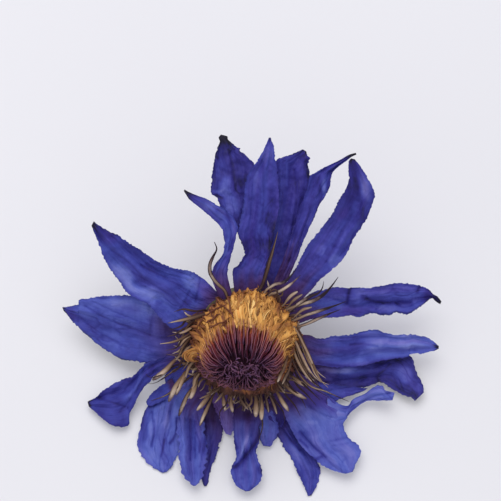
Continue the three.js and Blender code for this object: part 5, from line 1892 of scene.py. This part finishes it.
        Crease((-19.7, 16.4, -15, 14.7, -11.2, 13.5), -0.1, 0.2, -0.2),
        Crease((-27.7, 18.9, -24.4, 16.4, -21.5, 13.4), -0.12, 0.25, -0.25),
        Crease((-13.8, 5.8, -12.1, 8.4, -11.2, 10.5), -0.14, 0.3)),
    ),
)

DRAWN_OUT = (
    Stray((-3.8, 10.5, -5.9, 12.6, -6.9, 14.7, -6.7, 16.4, -5.7, 18.5, -5.3, 19.6, -5.9, 20.6),
        3, 0.42, 0.2, 1.1, 0.5),
    Stray((2.4, 9.8, 4, 11.6, 5.3, 15.8, 6.5, 20, 7.2, 22.7), 1.5, 0.44, 0.42, 0.7, 0.3),
    Stray((4.8, 10.5, 6.7, 11.8, 8.4, 12.2, 9.9, 13.5, 11.2, 15.2), 1.6, 0.34, 0.15, 1.3, 0.45),
    Stray((5.7, 9.7, 7.6, 10.3, 9.9, 11.8, 12, 13.7), 1, 0.36, 0, 1, 0.45),
    Stray((4.6, 9.2, 6.3, 10.7, 7.2, 10.3, 6.9, 9.3, 6.1, 8.8), 1.4, 0.22, 0.3, 0.6, 0, 1.6),
    Stray((8.8, 6.3, 12, 7.6, 15.2, 8.6, 17.7, 10.5, 19.8, 13.3), 2.4, 0.46, 0.2, 1.3, 0.4),
    Stray((9.6, 6.2, 12, 8, 14.1, 9.3, 16.2, 10.3, 16.8, 12.4), 1.4, 0.4, 0.25, 1.35, 0.4),
    Stray((9.9, 3.8, 13.1, 5.3, 16.2, 6.3, 18.9, 7.2, 21.5, 8.2), 1.6, 0.38, 0.18, 1.2, 0.45),
    Stray((10.3, 2.5, 13.1, 3.4, 15.8, 4.6, 18.3, 5.7, 20.4, 6.5), 1.2, 0.36, 0.22, 1.15, 0.45),
    Stray((9.5, 4.2, 11.4, 1.7, 13.3, -2.1, 15.4, -6.3, 17.5, -8.2), 1.6, 0.3, -0.2, 0.75, 0.5, 1.6),
    Stray((9.3, 2.9, 10.9, 0, 12.6, -3.8, 14.5, -7.2, 16.6, -9.1), 1.4, 0.3, -0.25, 0.75, 0.5, 1.8),
    Stray((9.1, 1.3, 10.3, -1.3, 11.6, -4.6, 13.7, -8, 16, -10.1), 1.2, 0.3, -0.15, 0.75, 0.45, 2),
    Stray((8.6, 0, 9.9, -2.9, 11.4, -6.3, 13.7, -9.5, 17.3, -10.9, 22.5, -13.3), 0.8, 0.26, 0.4, 1.1, 0, 2),
    Stray((11, 2.1, 12.2, -0.6, 13.7, -3.8, 15.3, -7.2, 17.2, -9.4), 1.5, 0.27, -0.15, 0.72, 0.5, 1),
    Stray((11.4, 1.7, 12.5, -0.6, 14.1, -4.6, 15.8, -8.2, 18.2, -9.6), 1.3, 0.26, 0, 0.72, 0.5, 1.2),
    Stray((10, 3.4, 11.9, 0.4, 13, -3, 15, -6.8, 16.8, -8.6), 1.5, 0.2, 0.3, 0.6, 0.5, 1.4),
    Stray((9.4, 2.2, 11, -1, 12.2, -4.6, 14, -7.6, 15.4, -9.8), 1.3, 0.2, 0.3, 0.6, 0.5, 1.8),
    Stray((10.8, 0.6, 11.6, -2.2, 13.2, -5.8, 15, -8, 16.4, -10.4), 1.2, 0.2, 0.35, 0.6, 0.5, 1.4),
    Stray((-9.6, 3.6, -11.4, 2.3, -13, 1.6, -14.8, 1.7), 1.1, 0.3, -0.25, 0.7, 0.5, 1.4),
    Stray((-10.2, 1.4, -12, 0.4, -13.4, -1.2, -14.6, -1.2), 1.2, 0.3, -0.25, 0.7, 0.5, 1.4),
    Stray((-9.9, -0.6, -11.7, -1.8, -12.8, -3.2, -13.9, -3.6), 1.2, 0.3, -0.2, 0.7, 0.45, 1.2),
    Stray((-9.8, -4, -11.3, -5.6, -12, -7.4, -12.6, -9.4), 1.2, 0.36, -0.1, 0.75, 0.45, 1),
    Stray((-8.8, -6.6, -10, -8.2, -10.4, -9.8, -11.6, -11), 1.2, 0.3, -0.1, 0.7, 0.45, 1),
    Stray((-9.4, -2, -11, -3.4, -11.9, -5.2, -12.8, -6.4), 1.2, 0.28, 0.1, 0.7, 0.4, 1.2),
    Stray((10.9, -1, 11.8, -4, 13.6, -7, 15.2, -9), 1, 0.32, -0.1, 0.7, 0, 1.4),
    Stray((11.4, -2.4, 12.2, -5.6, 13.9, -7.8, 14.9, -8.8), 0.9, 0.28, 0, 0.7, 0, 1.2),
    Stray((11.6, 2.1, 14, -3.4, 16.2, -8.2, 18, -10.2), 1.1, 0.3, -0.1, 0.72, 0, 1.2),
    Stray((2.8, -11.2, 4, -16.8, 4, -19.4, 2.9, -22.1), 0.5, 0.22, 0.7),
    Stray((-10.4, -7.4, -13.3, -9.5, -16.2, -11.8, -19.6, -13.1), 1.2, 0.28, 0.6),
    Stray((-5.9, 5.9, -8, 5.5, -10.5, 4.8, -13.3, 4.2, -15.8, 3.6), 1.2, 0.4, 0.15, 0.9, 0, 2.2),
    Stray((-9.1, 2.9, -10.7, 1.7, -12.8, 0.4, -14.9, -0.4, -17.5, -0.8), 1, 0.32, -0.05, 0.8, 0, 1.4),
    Stray((-9.9, 1.7, -11.6, 0, -13.3, -2.1, -14.9, -2.9), 1.2, 0.32, -0.1, 0.8, 0, 1.2),
    Stray((-9.7, 4.4, -11.2, 3.4, -12.4, 1.8, -13.6, 0.9), 1.2, 0.3, -0.1, 0.6, 0, 1.2),
    Stray((-10.8, 0.6, -12.6, -1.4, -13.6, -3.6, -15.4, -5.4), 1.4, 0.32, 0.1, 0.9, 0, 1),
    Stray((-8, 6.4, -10, 6.2, -12.4, 6.6, -14.4, 6), 1, 0.24, 0.6, 0.6, 0, 1.6),
    Stray((-9.4, 5, -11.6, 4.6, -13, 3, -15.4, 2.2), 1, 0.24, 0.65, 0.6, 0, 1.4),
    Stray((-10.2, 3.2, -12.2, 2.6, -14.4, 1.2, -16, 0.8), 0.9, 0.22, 0.6, 0.6, 0, 1.2),
    Stray((-10.6, 2, -12.4, 0.6, -14, -1.6, -16.4, -2.2), 0.9, 0.24, 0.6, 0.7, 0, 1.2),
    Stray((-10.9, 0, -12.8, -2.6, -14.4, -3.2, -16.2, -3), 0.9, 0.24, 0.6, 0.7, 0, 1),
    Stray((-11.2, -1.4, -13, -4.6, -14, -6.4, -16.6, -7.6), 0.9, 0.26, 0.6, 0.7, 0, 1),
    Stray((10.8, -3.6, 13.2, -7.4, 15.4, -9.4, 17.6, -11.2), 0.8, 0.24, 0.75, 0.6, 0, 0.8),
    Stray((10.4, -4.4, 12.6, -8.2, 15.4, -10.6, 18.4, -12.4), 0.7, 0.22, 0.8, 0.6, 0, 0.8),
    Stray((10, -5.2, 12.2, -8.8, 14.6, -11.2, 16.4, -13), 0.7, 0.24, 0.75, 0.6, 0, 0.6),
    Stray((9.6, -6.2, 11.4, -9.6, 13.4, -11.6, 15.6, -14.2), 0.6, 0.22, 0.8, 0.6, 0, 0.6),
    Stray((8.6, -7.6, 10.4, -10.4, 12.4, -12.6, 13.4, -14.8), 0.6, 0.22, 0.75, 0.6, 0, 0.6),
    Stray((7.4, -8.8, 9.2, -12, 10.8, -13.8, 12.2, -16.4), 0.6, 0.22, 0.8, 0.6, 0, 0.6),
    Stray((5.4, -10, 6.8, -13, 8.6, -15.6, 8.8, -18), 0.6, 0.2, 0.8, 0.6, 0, 0.6),
    Stray((-3, -10.4, -3.4, -13.4, -5, -15.6, -4.8, -17.4), 0.6, 0.2, 0.8, 0.6, 0, 0.6),
    Stray((-14.6, -5.6, -17.2, -7.4, -19.6, -8, -20.6, -7.2), 0.9, 0.2, 0.8, 1.2, 0, 0.6),
    Stray((-14.2, -6.2, -16.6, -8, -18.6, -9.2, -20.2, -9.4), 0.7, 0.18, 0.8, 1.2, 0, 0.6),
)

BLUNT = (
    Stray((8.6, 7.6, 9.9, 9.3, 11.4, 10.3), 1, 0.34, 0.05, 0.75, 0.5),
    Stray((9.5, 7.2, 10.7, 8.6, 12.4, 9.7), 1.2, 0.34, 0.1, 0.7, 0.4),
    Stray((10.4, 4.6, 12.4, 6.4, 14.4, 7), 1, 0.3, 0.05, 0.7, 0.45),
    Stray((9.4, -2.7, 8.7, -5, 7.2, -8.4), 10.4, 0.36, 0.05, 0.75, 0, 7.6),
    Stray((10.2, -3.5, 9.6, -6, 8.2, -9), 8.4, 0.3, 0.15, 0.75, 0, 6),
    Stray((9.8, -7.4, 11.7, -8.8, 13.6, -10), 1.2, 0.48, -0.15, 0.85),
    Stray((8.4, -9.2, 10.4, -11, 13.5, -12.7), 1, 0.46, -0.15, 0.95),
    Stray((7, -10.8, 8.3, -13.1, 9.7, -15.4), 0.8, 0.46, 0, 0.9),
    Stray((5.6, -11.6, 6.6, -13.9, 7.2, -16), 0.6, 0.34, 0.35, 0.8),
    Stray((2.6, -11.4, 2.8, -13.8, 2.7, -16.6), 0.8, 0.54, -0.1, 0.85),
    Stray((3.7, -11.4, 3.9, -14, 3.9, -17.2), 1, 0.5, -0.1, 0.85),
    Stray((4.6, -11.4, 5.1, -13.7, 5.4, -15.6), 0.6, 0.34, 0.4, 0.8),
    Stray((0.4, -11.6, 0.5, -13.4, 0.2, -15.4), 0.5, 0.3, 0.6, 0.8),
    Stray((-2.3, -11.4, -2.6, -13.4, -2.2, -15.6), 0.8, 0.4, 0.05, 0.85),
    Stray((-1.2, -10.6, -1.6, -11.6, -2, -12.6), 0.9, 0.24, 0.3, 0.8),
    Stray((-4.3, -11.6, -4.1, -13.2, -3.8, -15.2), 1, 0.4, 0.05, 0.85),
    Stray((-6.4, -10.8, -7.9, -12.9, -9.8, -15.2), 1.2, 0.5, -0.15, 0.85),
    Stray((-6.2, -11.6, -7.4, -14.2, -9.2, -18.4), 0.8, 0.4, 0.1, 0.9),
    Stray((-9.6, -8, -10.3, -10.2, -11.2, -12.6), 1.4, 0.52, -0.25, 0.85),
    Stray((-11.2, -5.9, -12.8, -8.4, -14.3, -11.8), 1.4, 0.54, -0.25, 0.9),
    Stray((-12, -6.7, -14.1, -9.7, -15.8, -13.3), 1, 0.5, -0.2, 0.95),
    Stray((-9.4, -9.2, -11.2, -10.9, -12.4, -13.1, -13.7, -16.4), 0.8, 0.42, 0, 0.95),
    Stray((-11.6, -2.5, -14.3, -4.2, -16.4, -6.5, -19.2, -8.6), 1.6, 0.5, 0.15, 0.95),
)


def main() -> None:
    """Builds the studio, the bloom's pieces and their finishes."""
    logging.basicConfig(level=logging.INFO, format="%(message)s")
    studio = Studio()
    studio.camera()
    studio.light()
    studio.floor()
    effects = Effects()
    petal_skin = PetalFinish("petal_skin", sheen=0.08, specular=0.25).make(effects)
    sepal_skin = PetalFinish(
        "sepal_skin", sheen=0.1, underside=stops((0, 46, 34, 50), (0.5, 88, 84, 62), (1, 140, 138, 96)),
    ).make(effects)
    for petal in PETALS:
        skin = sepal_skin if petal.slot is Slot.SEPAL else petal_skin
        dress(petal.build(), skin, petal.name if petal.node else None)

    outer = OuterStamens()
    anther = StrandFinish("outer_stamen_skin").make(effects)
    gold = StrandFinish(
        "golden_filament",
        along=stops((0, 72, 44, 38), (0.25, 130, 78, 52), (0.5, 186, 126, 62), (0.75, 228, 168, 88),
                    (1, 250, 204, 130)),
        dark=screen(82, 38, 30),
    ).make(effects)
    dress(outer.fan(), anther, "outer_stamens")
    dress(outer.stray_bundle("stray_stamens", DRAWN_OUT, outer.drawn), anther)
    dress(outer.stray_bundle("blunt_stamens", BLUNT, outer.flat), anther)
    for piece in (outer.mat(), outer.fibres(), outer.crack_shade(), outer.swirl()):
        dress(piece, gold)

    inner = InnerStamens()
    maroon = StrandFinish(
        "inner_stamen_skin",
        specular=0.15,
        along=stops((0, 216, 150, 66), (0.48, 216, 152, 82), (0.56, 164, 88, 50), (0.64, 132, 50, 44),
                    (0.72, 112, 42, 50), (0.85, 90, 34, 54), (1, 54, 24, 54)),
        dark=screen(38, 12, 24),
    ).make(effects)
    pale = StrandFinish(
        "inner_filament_skin",
        roughness=0.5,
        specular=0.15,
        along=stops((0, 232, 176, 96), (0.48, 226, 164, 96), (0.57, 178, 118, 92), (0.65, 156, 94, 94),
                    (0.85, 130, 82, 100), (1, 90, 66, 106)),
        dark=screen(64, 30, 48),
    ).make(effects)
    dress(inner.strands(), maroon, "inner_stamens")
    dress(inner.core(), maroon)
    for piece in (inner.tips(), inner.fringe(), inner.filaments()):
        dress(piece, pale)

    skin = SkinFinish("receptacle_skin", roughness=0.75, veins=3.0).make(effects)
    dress(Receptacle().build(), skin, "receptacle_and_stalk")


if __name__ == "__main__":
    main()
